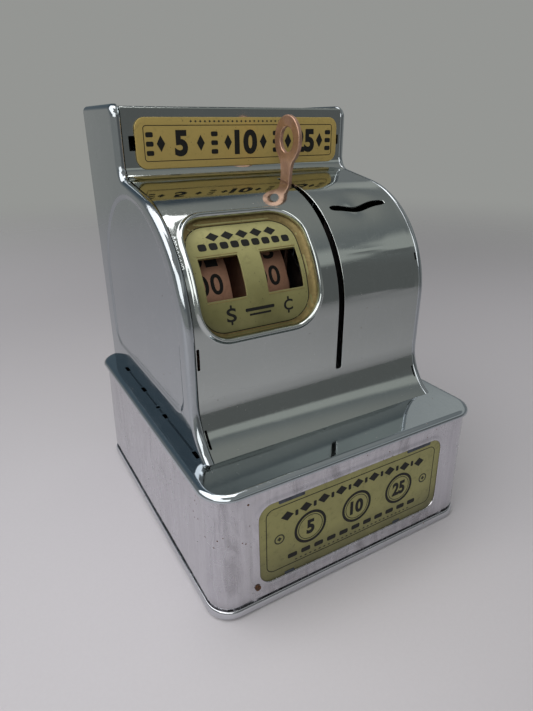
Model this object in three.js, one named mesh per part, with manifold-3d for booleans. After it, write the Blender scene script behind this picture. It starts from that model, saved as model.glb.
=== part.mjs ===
// Coin register bank: a small plated steel cash register with a pull-down lever.
// Millimetres. +X is the register's right, +Y its back, +Z up; the origin is under its middle.
import * as THREE from 'three';
import { mergeVertices } from 'three/addons/utils/BufferGeometryUtils.js';
import Module from 'manifold-3d';

const wasm = await Module();
wasm.setup();

// ---- driving dimensions ----

const SHEET = 0.8; // steel sheet
const THIN = 0.5; // printed plates
const GAP = 0.2; // room between neighbours that move past each other

const LID = { width: 115, depth: 127, corner: 10, top: 51, rimDrop: 1.9, rimWall: 0.9 };
const WALL = { width: 113.4, depth: 125.5, corner: 8.5, lean: 1.1 };
const FOOT = { width: 114.6, depth: 126.6, corner: 9.1, height: 3.6, lip: 0.5 };

const BODY = { half: 50.45, back: 63.1, top: 158.6, flange: 3, seam: 0.2 };
const SIGN = { y: 20.5, top: 157, fillet: 5.4 };
const ARCH = { y: 7.3, z: 89.4, radius: 42 };
const SHOULDER_SLOPE = 10.3; // degrees
const FLARE = { radius: 20.7, z: 69 };

const WINDOW = { x: -22, width: 44.2, corner: 10, low: -0.3, high: 56.5, bead: 1.7, beadRise: 0.9 };
const WINDOW_PLATE = { outer: 39, half: 24.2, low: -4, high: 61, rise: 41 };
const APERTURE = { pitch: 22.4, width: 14.4, low: 16.2, high: 37.4, lip: 1.7 };
const LEVER_SLOT = { x: 9.9, width: 2.5, low: 67.4, back: 8.9 };
const COIN = { x: 28.95, y: -17, width: 26.7, gap: 2.9 };

const SIGN_PLATE = { left: -43.1, right: 45, low: 137, high: 154.3, corner: 4, y: 20.05 };
const BASE_LABEL = { left: -40.2, right: 40.5, low: 9.5, high: 41.5, corner: 5 };
const BACK_LABEL = { half: 36, low: 66, high: 142, corner: 6 };

const SHAFT = { radius: 2, bore: 2.15 };
const DRUM = { radius: 31, rim: 0.7, hub: 4.5 };
const DOLLARS = { left: -42.8, right: -27.5 };
const CENTS = { left: -20.5, right: -4.7 };
const RATCHET = { teeth: 20, tip: 13, root: 10.8, thick: 1.2, phase: -20 };
const PAWL = { thick: 0.8, lift: 13.3, pivot: 20, lag: -60, shy: 1.3, hub: 2.6, bore: 1.15 };

const LEVER = { thick: 1.6, lean: 4.4, hub: 6.5, half: 3.15, neck: 47.5, ring: 8.5, ringAt: 57.3, hole: 4.5 };
const FRAME = { left: -48.4, centre: -24.4, right: 12.4, foot: 7 };
const SPACERS = { front: [-25, 58], rear: [45, 60], top: [38, 116] };

const BELL = { x: 28, y: 40, radius: 12, flat: 3.2, bore: 1.7, rim: 66, post: 2.4 };
const BELL_TOP = BELL.rim + BELL.radius - BELL.flat - SHEET;
const HAMMER = { x: 19.4, y: 20, z: 62, ball: 2.2, ballY: 27.4, ballZ: 69 };
const FEELER = { y: -11, z: 108, toeZ: 91, left: 25.5, right: 29.1 };

const DOOR = { left: -51, right: 12, half: 38, low: 0.1, hingeX: -41.3, hingeZ: 9.3, pin: 1 };
const LATCH = { x: 20, z: 14, reach: 7.2, drop: 7, half: 5.5, openTurn: -18 };

// ---- looks ----

const nickel = { color: 0xaab0b6, roughness: 0.12, metalness: 1 };
const worn = { color: 0x9a9ca3, roughness: 0.3, metalness: 1 };
const steel = { color: 0x8d9094, roughness: 0.4, metalness: 1 };
const blued = { color: 0x3c4148, roughness: 0.45, metalness: 1 };
const copper = { color: 0xb9785a, roughness: 0.35, metalness: 0.9 };
const brass = { color: 0xb8963e, roughness: 0.3, metalness: 1 };
const mustard = { color: 0xb09a4c, roughness: 0.4, metalness: 0.2 };

// ---- points in a plane ----

const rad = THREE.MathUtils.degToRad;

function arc(centreA, centreB, radius, from, to, steps) {
  const points = [];
  for (let i = 0; i <= steps; i += 1) {
    const angle = rad(from + ((to - from) * i) / steps);
    points.push([centreA + radius * Math.cos(angle), centreB + radius * Math.sin(angle)]);
  }
  return points;
}

function roundedRect(left, right, low, high, corner, steps = 5) {
  return [
    ...arc(right - corner, low + corner, corner, -90, 0, steps),
    ...arc(right - corner, high - corner, corner, 0, 90, steps),
    ...arc(left + corner, high - corner, corner, 90, 180, steps),
    ...arc(left + corner, low + corner, corner, 180, 270, steps),
  ];
}

function circle(a, b, radius, steps = 24) {
  return arc(a, b, radius, 0, 360, steps).slice(0, -1);
}

// Two discs and the straight strip between them.
function link([a0, b0], r0, [a1, b1], r1) {
  const along = THREE.MathUtils.radToDeg(Math.atan2(b1 - b0, a1 - a0));
  const spread = THREE.MathUtils.radToDeg(Math.acos((r0 - r1) / Math.hypot(a1 - a0, b1 - b0)));
  return [
    ...arc(a0, b0, r0, along + spread, along + 360 - spread, 12),
    ...arc(a1, b1, r1, along - spread, along + spread, 8),
  ];
}

// Place on a wheel, seen from its right: the angle runs from straight up towards the front.
function onWheel(angle, radius) {
  return [-Math.sin(rad(angle)) * radius, Math.cos(rad(angle)) * radius];
}

// ---- solids from outlines ----

function shapeFrom(outline, holes = []) {
  const shape = new THREE.Shape(outline.map(([a, b]) => new THREE.Vector2(a, b)));
  shape.holes = holes.map((hole) => new THREE.Path(hole.map(([a, b]) => new THREE.Vector2(a, b))));
  return shape;
}

function extrude(outline, depth, holes) {
  return new THREE.ExtrudeGeometry(shapeFrom(outline, holes), { depth, bevelEnabled: false, steps: 1 });
}

const X_AXIS = new THREE.Vector3(1, 0, 0);
const Y_AXIS = new THREE.Vector3(0, 1, 0);
const Z_AXIS = new THREE.Vector3(0, 0, 1);
const YZ_TO_X = new THREE.Matrix4().makeBasis(Y_AXIS, Z_AXIS, X_AXIS);
const XZ_TO_Y = new THREE.Matrix4().makeBasis(X_AXIS, Z_AXIS, Y_AXIS.clone().negate());

// Outline in (y, z), thickness along X.
function slabX(outline, x0, x1, holes) {
  return extrude(outline, x1 - x0, holes).applyMatrix4(YZ_TO_X).translate(x0, 0, 0);
}

// Outline in (x, z), thickness along Y.
function slabY(outline, y0, y1, holes) {
  return extrude(outline, y1 - y0, holes).applyMatrix4(XZ_TO_Y).translate(0, y1, 0);
}

// Outline in (x, y), thickness along Z.
function slabZ(outline, z0, z1, holes) {
  return extrude(outline, z1 - z0, holes).translate(0, 0, z0);
}

function box(x0, x1, y0, y1, z0, z1) {
  const centre = [(x0 + x1) / 2, (y0 + y1) / 2, (z0 + z1) / 2];
  return new THREE.BoxGeometry(x1 - x0, y1 - y0, z1 - z0).translate(...centre);
}

// Profile of [radius, height] turned about Z.
function latheZ(profile, segments = 24) {
  const points = profile.map(([radius, height]) => new THREE.Vector2(radius, height));
  return new THREE.LatheGeometry(points, segments).rotateX(Math.PI / 2);
}

// Profile of [radius, x] turned about X.
function latheX(profile, segments = 24) {
  const points = profile.map(([radius, x]) => new THREE.Vector2(radius, x));
  return new THREE.LatheGeometry(points, segments).rotateZ(-Math.PI / 2);
}

function rodX(radius, x0, x1, y = 0, z = 0) {
  return slabX(circle(y, z, radius), x0, x1);
}

// A pin along X with a thin head on each end past the plates it joins.
function rivetedRod(radius, neck, head, x0, x1, plate) {
  return latheX([
    [0, x0 - 2 * plate],
    [head, x0 - 2 * plate],
    [head, x0 - plate],
    [neck, x0 - plate],
    [neck, x0],
    [radius, x0],
    [radius, x1],
    [neck, x1],
    [neck, x1 + plate],
    [head, x1 + plate],
    [head, x1 + 2 * plate],
    [0, x1 + 2 * plate],
  ], 16);
}

// ---- joining and cutting ----

function toSolid(geometry) {
  const bare = new THREE.BufferGeometry();
  bare.setAttribute('position', geometry.getAttribute('position'));
  bare.setIndex(geometry.index);
  const merged = mergeVertices(bare, 1e-4);
  const triangles = [];
  const index = merged.index.array;
  for (let i = 0; i < index.length; i += 3) {
    const [a, b, c] = [index[i], index[i + 1], index[i + 2]];
    if (a !== b && b !== c && c !== a) triangles.push(a, b, c);
  }
  return new wasm.Manifold(new wasm.Mesh({
    numProp: 3,
    vertProperties: new Float32Array(merged.getAttribute('position').array),
    triVerts: new Uint32Array(triangles),
  }));
}

function toGeometry(solid) {
  const mesh = solid.getMesh();
  const geometry = new THREE.BufferGeometry();
  geometry.setAttribute('position', new THREE.BufferAttribute(new Float32Array(mesh.vertProperties), 3));
  geometry.setIndex(new THREE.BufferAttribute(new Uint32Array(mesh.triVerts), 1));
  return geometry;
}

function join(...geometries) {
  return toGeometry(geometries.map(toSolid).reduce((sum, next) => sum.add(next)));
}

function cut(geometry, ...tools) {
  return toGeometry(tools.map(toSolid).reduce((rest, tool) => rest.subtract(tool), toSolid(geometry)));
}

function overlap(first, second) {
  return toGeometry(toSolid(first).intersect(toSolid(second)));
}

function piece(name, geometry, look, x = 0, y = 0, z = 0) {
  const mesh = new THREE.Mesh(toGeometry(toSolid(geometry)), new THREE.MeshStandardMaterial(look));
  mesh.name = name;
  mesh.position.set(x, y, z);
  return mesh;
}

function group(...pieces) {
  const together = new THREE.Group();
  together.add(...pieces);
  return together;
}

// ---- base: coin box ----

function planRect({ width, depth, corner }, inset = 0) {
  const halfWidth = width / 2 - inset;
  const halfDepth = depth / 2 - inset;
  return roundedRect(-halfWidth, halfWidth, -halfDepth, halfDepth, corner - inset);
}

// Leans the four walls inward, from nothing at the floor to WALL.lean at the lid.
function leanInward(geometry, height) {
  const place = geometry.getAttribute('position');
  for (let i = 0; i < place.count; i += 1) {
    const lean = (WALL.lean * place.getZ(i)) / height;
    place.setX(i, place.getX(i) * (1 - (2 * lean) / WALL.width));
    place.setY(i, place.getY(i) * (1 - (2 * lean) / WALL.depth));
  }
  return geometry;
}

const LID_UNDER = LID.top - SHEET;

function baseWall() {
  const ring = slabZ(planRect(WALL), SHEET, LID_UNDER, [planRect(WALL, SHEET)]);
  const pinHole = slabY(circle(DOOR.hingeX, DOOR.hingeZ, DOOR.pin + 0.1, 12), -WALL.depth, WALL.depth);
  return piece('base_wall', cut(leanInward(ring, LID_UNDER), pinHole), worn);
}

const SCREWS = [[-44, -24], [-44, 45], [9, -24], [9, 45]];
const SCREW = { shank: 1.2, hole: 1.3, head: 2.4, headRise: 1.2, tip: 48.6 };

function screwHoles() {
  return SCREWS.map(([x, y]) => slabZ(circle(x, y, SCREW.hole, 16), LID_UNDER - 1, LID.top + 2));
}

function coinPath(spread, z0, z1) {
  const half = COIN.width / 2 + spread;
  const halfGap = COIN.gap / 2 + spread;
  return box(COIN.x - half, COIN.x + half, COIN.y - halfGap, COIN.y + halfGap, z0, z1);
}

function baseLid() {
  const sheet = slabZ(planRect(LID), LID_UNDER, LID.top);
  const rim = slabZ(planRect(LID), LID.top - LID.rimDrop, LID_UNDER + 0.01, [planRect(LID, LID.rimWall)]);
  const coinHole = coinPath(0.4, LID_UNDER - 1, LID.top + 1);
  return piece('base_lid', cut(join(sheet, rim), coinHole, ...screwHoles()), nickel);
}

const DOOR_HOLE = { left: DOOR.left - 0.6, right: DOOR.right + 3.1, half: DOOR.half + 0.6 };

function baseFloor() {
  const sheet = slabZ(planRect(FOOT), 0, SHEET);
  const lip = slabZ(planRect(FOOT), 0, FOOT.height, [planRect(FOOT, FOOT.lip)]);
  const doorway = box(DOOR_HOLE.left, DOOR_HOLE.right, -DOOR_HOLE.half, DOOR_HOLE.half, -1, 2);
  return piece('base_floor', cut(join(sheet, lip), doorway), nickel);
}

function baseLabel() {
  const { left, right, low, high, corner } = BASE_LABEL;
  const lean = Math.atan(WALL.lean / LID_UNDER);
  const plate = slabY(roundedRect(left, right, low, high, corner), -THIN, 0).rotateX(-lean);
  return piece('base_label', plate, mustard, 0, -WALL.depth / 2 - 0.05, 0);
}

function trapDoor() {
  const lip = 8;
  const catchReach = 2.5;
  const catchHalf = 8;
  const earHalf = 36.4;
  const sheet = box(DOOR.left, DOOR.right, -DOOR.half, DOOR.half, DOOR.low, DOOR.low + SHEET);
  const edge = box(DOOR.right - SHEET, DOOR.right, -DOOR.half, DOOR.half, DOOR.low, lip);
  const catchStrip = box(DOOR.right - SHEET, DOOR.right + catchReach, -catchHalf, catchHalf, lip - SHEET, lip);
  const ears = [-earHalf, earHalf].map((y) => slabY(
    link([DOOR.hingeX, DOOR.hingeZ], 3, [DOOR.hingeX, DOOR.low + 4], 3.9),
    y - SHEET / 2,
    y + SHEET / 2,
  ));
  const bore = slabY(circle(DOOR.hingeX, DOOR.hingeZ, DOOR.pin + 0.12), -DOOR.half, DOOR.half);
  return piece('trap_door', cut(join(sheet, edge, catchStrip, ...ears), bore), steel);
}

function doorHingePin() {
  const half = WALL.depth / 2;
  return piece('door_hinge_pin', slabY(circle(0, 0, DOOR.pin), -half, half), steel, DOOR.hingeX, 0, DOOR.hingeZ);
}

// The latch is drawn hooked under the catch strip, then turned to its released place.
function doorLatch() {
  const hookThick = 1.2;
  const arm = slabY(link([0, 0], 2.4, [0, -LATCH.drop - hookThick / 2], 1), -LATCH.half, LATCH.half);
  const hook = box(-LATCH.reach, 0, -LATCH.half, LATCH.half, -LATCH.drop - hookThick, -LATCH.drop);
  const bore = slabY(circle(0, 0, DOOR.pin + 0.12), -LATCH.half - 1, LATCH.half + 1);
  const latch = cut(join(arm, hook), bore).rotateY(rad(LATCH.openTurn));
  return piece('door_latch', latch, steel, LATCH.x, 0, LATCH.z);
}

function latchBracket() {
  const earIn = LATCH.half + 0.4;
  const earOut = earIn + SHEET;
  const foot = box(-4.4, 7, -earOut, earOut, SHEET - LATCH.z, 2 * SHEET - LATCH.z);
  const ears = [[-earOut, -earIn], [earIn, earOut]].map(([y0, y1]) => slabY(
    link([0, 0], 2.6, [0, 5.2 - LATCH.z], 4),
    y0,
    y1,
  ));
  const bore = slabY(circle(0, 0, DOOR.pin + 0.05), -earOut - 1, earOut + 1);
  return piece('latch_bracket', cut(join(foot, ...ears), bore), steel, LATCH.x, 0, LATCH.z);
}

function latchPin() {
  return piece('latch_pin', slabY(circle(0, 0, DOOR.pin), -7.6, 7.6), steel, LATCH.x, 0, LATCH.z);
}

// ---- register body ----

// The line down the front of the body, in (y, z), set in from the outer face.
function frontLine(inset, top, bottom) {
  const filletY = SIGN.y - SIGN.fillet;
  const tangentY = ARCH.y - ARCH.radius * Math.sin(rad(SHOULDER_SLOPE));
  const tangentZ = ARCH.z + ARCH.radius * Math.cos(rad(SHOULDER_SLOPE));
  const shoulderZ = tangentZ + (filletY - tangentY) * Math.tan(rad(SHOULDER_SLOPE));
  const filletZ = shoulderZ + SIGN.fillet / Math.cos(rad(SHOULDER_SLOPE));
  const flareRadius = FLARE.radius + inset;
  const flareEnd = THREE.MathUtils.radToDeg(Math.asin((FLARE.z - bottom) / flareRadius));
  return [
    [SIGN.y + inset, top],
    ...arc(filletY, filletZ, SIGN.fillet + inset, 0, SHOULDER_SLOPE - 90, 4),
    ...arc(ARCH.y, ARCH.z, ARCH.radius - inset, 90 + SHOULDER_SLOPE, 180, 14),
    ...arc(ARCH.y - ARCH.radius - FLARE.radius, FLARE.z, flareRadius, 0, -flareEnd, 6),
  ];
}

function sideOutline(inset, bottom) {
  const frontCorner = 4 - inset;
  const backCorner = 2.5 - inset;
  const top = BODY.top - inset;
  const back = BODY.back - inset;
  return [
    [back, bottom],
    ...arc(back - backCorner, top - backCorner, backCorner, 0, 90, 3),
    ...arc(SIGN.y + inset + frontCorner, top - frontCorner, frontCorner, 90, 180, 4),
    ...frontLine(inset, top, bottom).slice(1),
  ];
}

// side is -1 for the left cheek and 1 for the right one.
function sidePlate(name, side) {
  const outer = side * BODY.half;
  const skin = side * (BODY.half - SHEET);
  const inner = side * (BODY.half - BODY.flange);
  const blank = slabX(sideOutline(0, LID.top), Math.min(outer, inner), Math.max(outer, inner));
  const deep = inner - side * 1;
  const hollow = slabX(sideOutline(SHEET, LID.top - 1), Math.min(skin, deep), Math.max(skin, deep));
  return piece(name, cut(blank, hollow), nickel);
}

const PANEL_HALF = BODY.half - BODY.flange - BODY.seam;

// A block that cuts through the arch square to it, between two angles above the shaft.
function windowBlock(grow) {
  const middle = (WINDOW.low + WINDOW.high) / 2;
  const half = ARCH.radius * Math.sin(rad((WINDOW.high - WINDOW.low) / 2)) + grow;
  const halfWidth = WINDOW.width / 2 + grow;
  const outline = roundedRect(-halfWidth, halfWidth, -half, half, WINDOW.corner + grow, 6);
  return slabZ(outline, 25, 50).rotateX(rad(90 - middle)).translate(WINDOW.x, ARCH.y, ARCH.z);
}

// Part of a tube round the shaft, between two radii and two angles above the front.
function archBand(inner, outer, low, high, x0, x1, steps = 10) {
  const outline = [
    ...arc(ARCH.y, ARCH.z, outer, 180 - high, 180 - low, steps),
    ...arc(ARCH.y, ARCH.z, inner, 180 - low, 180 - high, steps),
  ];
  return slabX(outline, x0, x1);
}

const SIGN_TAB = { reach: 0.9, half: 1.5, deep: 2, z: (SIGN_PLATE.low + SIGN_PLATE.high) / 2 };

function signSlots() {
  const half = SIGN_TAB.half + 0.3;
  return [SIGN_PLATE.left - SIGN_TAB.reach, SIGN_PLATE.right].map((x) => (
    box(x - 0.4, x + SIGN_TAB.reach + 0.4, SIGN.y - 1, SIGN.y + 2, SIGN_TAB.z - half, SIGN_TAB.z + half)
  ));
}

function frontPanel() {
  const outline = [
    ...frontLine(0, SIGN.top, LID.top),
    ...frontLine(SHEET, SIGN.top, LID.top).reverse(),
  ];
  const sheet = slabX(outline, -PANEL_HALF, PANEL_HALF);
  const beadBand = archBand(
    ARCH.radius - SHEET / 2,
    ARCH.radius + WINDOW.beadRise,
    WINDOW.low - 6,
    WINDOW.high + 6,
    -PANEL_HALF,
    LEVER_SLOT.x,
    16,
  );
  const bead = overlap(beadBand, windowBlock(WINDOW.bead));
  const halfSlot = LEVER_SLOT.width / 2;
  const leverSlot = box(
    LEVER_SLOT.x - halfSlot,
    LEVER_SLOT.x + halfSlot,
    -ARCH.radius,
    LEVER_SLOT.back,
    LEVER_SLOT.low,
    SIGN.top,
  );
  const coinSlot = coinPath(0, ARCH.z, SIGN.top);
  return piece('front_panel', cut(join(sheet, bead), windowBlock(0), leverSlot, coinSlot, ...signSlots()), nickel);
}

function backPanel() {
  const top = SIGN.top + SHEET;
  const corner = 2.5;
  const outline = [
    [BODY.back, LID.top],
    ...arc(BODY.back - corner, top - corner, corner, 0, 90, 3),
    [SIGN.y, top],
    [SIGN.y, SIGN.top],
    ...arc(BODY.back - corner, top - corner, corner - SHEET, 90, 0, 3),
    [BODY.back - SHEET, LID.top],
  ];
  return piece('back_panel', slabX(outline, -PANEL_HALF, PANEL_HALF), nickel);
}

function signPlate() {
  const { left, right, low, high, corner, y } = SIGN_PLATE;
  const plate = slabY(roundedRect(left, right, low, high, corner), y - THIN, y);
  const tabs = [left - SIGN_TAB.reach, right - 0.1].map((x) => join(
    box(x, x + SIGN_TAB.reach + 0.1, y - THIN, y, SIGN_TAB.z - SIGN_TAB.half, SIGN_TAB.z + SIGN_TAB.half),
    box(
      x < 0 ? x : x + SIGN_TAB.reach + 0.1 - THIN,
      x < 0 ? x + THIN : x + SIGN_TAB.reach + 0.1,
      y - THIN,
      y + SIGN_TAB.deep,
      SIGN_TAB.z - SIGN_TAB.half,
      SIGN_TAB.z + SIGN_TAB.half,
    ),
  ));
  return piece('sign_plate', join(plate, ...tabs), mustard);
}

function backLabel() {
  const { half, low, high, corner } = BACK_LABEL;
  const outline = roundedRect(-half, half, low, high, corner);
  return piece('back_label', slabY(outline, BODY.back + 0.05, BODY.back + 0.05 + THIN - 0.2), mustard);
}

// A shallow curved pan behind the window, with a lip above and below each opening.
function windowPlate() {
  const { outer, half, low, high, rise } = WINDOW_PLATE;
  const x0 = WINDOW.x - half;
  const x1 = WINDOW.x + half;
  const block = archBand(outer - THIN, rise, low, high, x0, x1, 16);
  const hollow = archBand(outer, rise + 1, low + 0.8, high - 0.8, x0 + THIN, x1 - THIN, 16);
  const openings = [];
  const lips = [];
  for (const side of [-1, 1]) {
    const left = WINDOW.x + (side * APERTURE.pitch - APERTURE.width) / 2;
    const right = left + APERTURE.width;
    openings.push(archBand(outer - 2, outer + 1, APERTURE.low, APERTURE.high, left, right, 5));
    for (const edge of [APERTURE.low - 0.8, APERTURE.high]) {
      lips.push(archBand(outer - THIN - APERTURE.lip, outer - THIN / 2, edge, edge + 0.8, left, right, 1));
    }
  }
  return piece('window_plate', cut(join(cut(block, hollow), ...lips), ...openings), mustard);
}

// ---- mechanism: everything below is drawn about the shaft ----

const SHAFT_SPAN = { left: FRAME.left - 0.5, right: FRAME.right + 2.2 };

// Angle of the steep face of the nth tooth back from the top one.
function toothFace(n) {
  return RATCHET.phase - (n * 360) / RATCHET.teeth;
}

function aboutShaft([y, z]) {
  return [y - ARCH.y, z - ARCH.z];
}

const SPACER = { radius: 2, neck: 1.2, head: 2 };
const CENTS_CLICK_TIP = toothFace(5);
const DOLLARS_CLICK_TIP = toothFace(9);
const CENTS_CLICK_PIVOT = onWheel(CENTS_CLICK_TIP + PAWL.lag, PAWL.pivot);
const DOLLARS_CLICK_PIVOT = onWheel(DOLLARS_CLICK_TIP + PAWL.lag, PAWL.pivot);
const CARRY = { pivot: onWheel(-120, 34), finger: onWheel(-111, 14.3), kick: onWheel(-104, 24) };

function frameOutline() {
  return [[-31, LID.top], [52, LID.top], [52, 100], [45, 123], [33, 123], [-2, 99], [-31, 66]].map(aboutShaft);
}

// footSide is -1 or 1 for a foot bent to the left or right, 0 for no foot.
function frame(name, x0, footSide, holes) {
  const x1 = x0 + SHEET;
  let plate = slabX(frameOutline(), x0, x1, holes);
  if (footSide !== 0) {
    const footX = footSide > 0 ? [x1 - 0.01, x1 + FRAME.foot] : [x0 - FRAME.foot, x0 + 0.01];
    const [y0, z0] = aboutShaft([-31, LID.top]);
    const [y1] = aboutShaft([52, LID.top]);
    plate = join(plate, box(...footX, y0, y1, z0, z0 + SHEET));
    const holesDown = screwHoles().map((hole) => hole.translate(0, -ARCH.y, -ARCH.z));
    plate = cut(plate, ...holesDown);
  }
  return piece(name, plate, steel);
}

function spacerHoles(radius) {
  return Object.values(SPACERS).map((place) => circle(...aboutShaft(place), radius, 16));
}

function spacer(name, place) {
  const rod = rivetedRod(SPACER.radius, SPACER.neck, SPACER.head, FRAME.left + SHEET, FRAME.right, SHEET);
  const [y, z] = aboutShaft(place);
  return piece(name, rod, steel, 0, y, z);
}

function sleeve(name, x0, x1, outer, bore, look) {
  return piece(name, slabX(circle(0, 0, outer), x0, x1, [circle(0, 0, bore)]), look);
}

// webX is the left face of the drum's disc.
function drum(name, { left, right }, webX) {
  const body = latheX([
    [SHAFT.bore, left],
    [DRUM.hub, left],
    [DRUM.hub, webX],
    ...(webX > left ? [[DRUM.radius - DRUM.rim, webX], [DRUM.radius - DRUM.rim, left]] : []),
    [DRUM.radius, left],
    [DRUM.radius, right],
    ...(webX > left ? [] : [[DRUM.radius - DRUM.rim, right], [DRUM.radius - DRUM.rim, webX + SHEET]]),
    ...(webX > left ? [] : [[DRUM.hub, webX + SHEET], [DRUM.hub, right]]),
    [SHAFT.bore, right],
    [SHAFT.bore, left],
  ], 40);
  return piece(name, body, copper);
}

function ratchet(name, x0) {
  const step = 360 / RATCHET.teeth;
  const outline = [];
  for (let i = 0; i < RATCHET.teeth; i += 1) {
    const face = RATCHET.phase - i * step;
    outline.push(onWheel(face, RATCHET.tip));
    outline.push(onWheel(face, RATCHET.root));
  }
  return piece(name, slabX(outline, x0, x0 + RATCHET.thick, [circle(0, 0, SHAFT.bore)]), steel);
}

// A pawl with its tip just off the teeth at tipAngle and its pivot further back round the wheel.
function pawlOutline(tipAngle) {
  const blade = [
    [0, PAWL.lift],
    [0, PAWL.lift + 3.2],
    [-28, 20.4],
    [PAWL.lag + 2, PAWL.pivot + 2.2],
    [PAWL.lag, PAWL.pivot - 1.8],
    [-40, 16.8],
    [-20, 15.4],
  ];
  return blade.map(([angle, radius]) => onWheel(tipAngle + angle, radius));
}

function pawl(name, faceAngle, x0) {
  const tipAngle = faceAngle - PAWL.shy;
  const pivot = onWheel(faceAngle + PAWL.lag, PAWL.pivot);
  const blade = slabX(pawlOutline(tipAngle), x0, x0 + PAWL.thick);
  const hub = slabX(circle(...pivot, PAWL.hub), x0, x0 + PAWL.thick);
  return piece(name, cut(join(blade, hub), rodX(PAWL.bore, x0 - 1, x0 + 2, ...pivot)), blued);
}

// A short pin along X from x0, with its head between headX and x1.
function stubPin(name, [y, z], x0, headX, x1) {
  return piece(name, join(rodX(1, x0, x1), slabX(circle(0, 0, 1.8, 16), headX, x1)), steel, 0, y, z);
}

const SLEEVE = { left: -2, right: LEVER_SLOT.x - LEVER.thick / 2, radius: 3.6 };

// Flat strip: hub on the shaft, straight arm, ring to pull on.
function lever() {
  const outline = [
    ...arc(0, 0, LEVER.hub, 119, 421, 16),
    [LEVER.half, LEVER.neck],
    ...arc(0, LEVER.ringAt, LEVER.ring, -50, 230, 24),
    [-LEVER.half, LEVER.neck],
  ];
  const holes = [circle(0, LEVER.ringAt, LEVER.hole), circle(0, 0, SHAFT.bore)];
  const x0 = LEVER_SLOT.x - LEVER.thick / 2;
  const strip = slabX(outline, x0, x0 + LEVER.thick, holes).rotateX(rad(LEVER.lean));
  return piece('lever', strip, copper);
}

const DRIVE_TIP = toothFace(0);
const DRIVE_PIVOT = onWheel(DRIVE_TIP + PAWL.lag, PAWL.pivot);

function driveArm() {
  const holes = [circle(0, 0, SHAFT.bore), circle(...DRIVE_PIVOT, 1.05)];
  const plate = slabX(link([0, 0], 6, DRIVE_PIVOT, 3), SLEEVE.left, SLEEVE.left + 1.2, holes);
  return piece('drive_arm', plate, steel);
}

// Rocker in the gap between the drums, with an axle through the centre frame and a finger each side.
function carryLever() {
  const fingerLeft = DOLLARS.right + GAP;
  const kickRight = CENTS.left - 1.5;
  const finger = slabX(link(CARRY.pivot, 3.2, CARRY.finger, 0.8), fingerLeft, fingerLeft + PAWL.thick);
  const kick = slabX(link(CARRY.pivot, 3.2, CARRY.kick, 1), kickRight - PAWL.thick, kickRight);
  const axle = rodX(2, fingerLeft + 0.1, kickRight - 0.1, ...CARRY.pivot);
  return piece('carry_lever', join(finger, kick, axle), blued);
}

// Torsion spring round the lever's sleeve, its long leg against the top spacer.
function leverSpring() {
  const radius = 4.6;
  const turns = 5;
  const left = 1;
  const right = 6.5;
  const perTurn = 10;
  const points = [];
  const [spacerY, spacerZ] = aboutShaft(SPACERS.top);
  const spacerAngle = Math.atan2(spacerZ, spacerY);
  const reach = Math.hypot(spacerY, spacerZ) - 1;
  const side = 3.1; // keeps the leg beside the spacer
  for (let i = 0; i <= turns * perTurn; i += 1) {
    const turn = (i / perTurn) * 2 * Math.PI;
    const angle = spacerAngle + Math.PI / 2 + turn;
    const x = left + ((right - left) * i) / (turns * perTurn);
    points.push(new THREE.Vector3(x, radius * Math.cos(angle), radius * Math.sin(angle)));
  }
  const along = new THREE.Vector3(0, Math.cos(spacerAngle), Math.sin(spacerAngle));
  const across = new THREE.Vector3(0, -Math.sin(spacerAngle), Math.cos(spacerAngle));
  const legEnd = along.clone().multiplyScalar(reach).addScaledVector(across, side);
  points.unshift(legEnd.setX(left));
  const path = new THREE.CatmullRomCurve3(points, false, 'centripetal');
  const wire = new THREE.Shape(circle(0, 0, 0.4, 6).map(([a, b]) => new THREE.Vector2(a, b)));
  const spring = new THREE.ExtrudeGeometry(wire, { steps: 60, extrudePath: path, bevelEnabled: false });
  return piece('lever_spring', spring, steel);
}

// ---- coin chute, feeler and bell ----

const CHUTE = { wall: 0.6, spread: 0.1, low: LID.top, high: 119, slotLow: 88.5, slotHigh: 95.5 };

function coinChute() {
  const ears = [FEELER.left - 1.1, FEELER.right + 0.4].map((x) => slabX(
    link([FEELER.y, FEELER.z], 2.6, [COIN.y + 2, FEELER.z], 2.6),
    x,
    x + 0.7,
  ));
  const slot = box(FEELER.left - 0.4, FEELER.right + 0.4, COIN.y, 0, CHUTE.slotLow, CHUTE.slotHigh);
  const bore = rodX(1.05, FEELER.left - 3, FEELER.right + 3, FEELER.y, FEELER.z);
  const tube = coinPath(CHUTE.spread + CHUTE.wall, CHUTE.low, CHUTE.high);
  const foot = coinPath(2, CHUTE.low, CHUTE.low + CHUTE.wall);
  const path = coinPath(CHUTE.spread, CHUTE.low - 1, CHUTE.high + 1);
  return piece('coin_chute', cut(join(tube, foot, ...ears), path, slot, bore), steel);
}

function coinFeeler() {
  const hub = slabX(circle(FEELER.y, FEELER.z, 2.4), FEELER.left, FEELER.right);
  const strip = box(FEELER.left, FEELER.right, FEELER.y - 1.2, FEELER.y - 0.2, FEELER.toeZ, FEELER.z);
  const toe = box(FEELER.left, FEELER.right, COIN.y + 1.7, FEELER.y - 0.2, FEELER.toeZ, FEELER.toeZ + 1);
  const bore = rodX(1.15, FEELER.left - 1, FEELER.right + 1, FEELER.y, FEELER.z);
  return piece('coin_feeler', cut(join(hub, strip, toe), bore), blued);
}

function feelerPin() {
  return piece('feeler_pin', rodX(1, FEELER.left - 1.8, FEELER.right + 1.8, FEELER.y, FEELER.z), steel);
}

function bell() {
  const dome = latheZ([
    ...arc(BELL.flat, BELL.rim, BELL.radius - BELL.flat - SHEET, 90, 0, 5),
    ...arc(BELL.flat, BELL.rim, BELL.radius - BELL.flat, 0, 90, 5),
    [BELL.bore, BELL_TOP + SHEET],
    [BELL.bore, BELL_TOP],
    [BELL.flat, BELL_TOP],
  ]);
  return piece('bell', dome, brass, BELL.x, BELL.y, 0);
}

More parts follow.
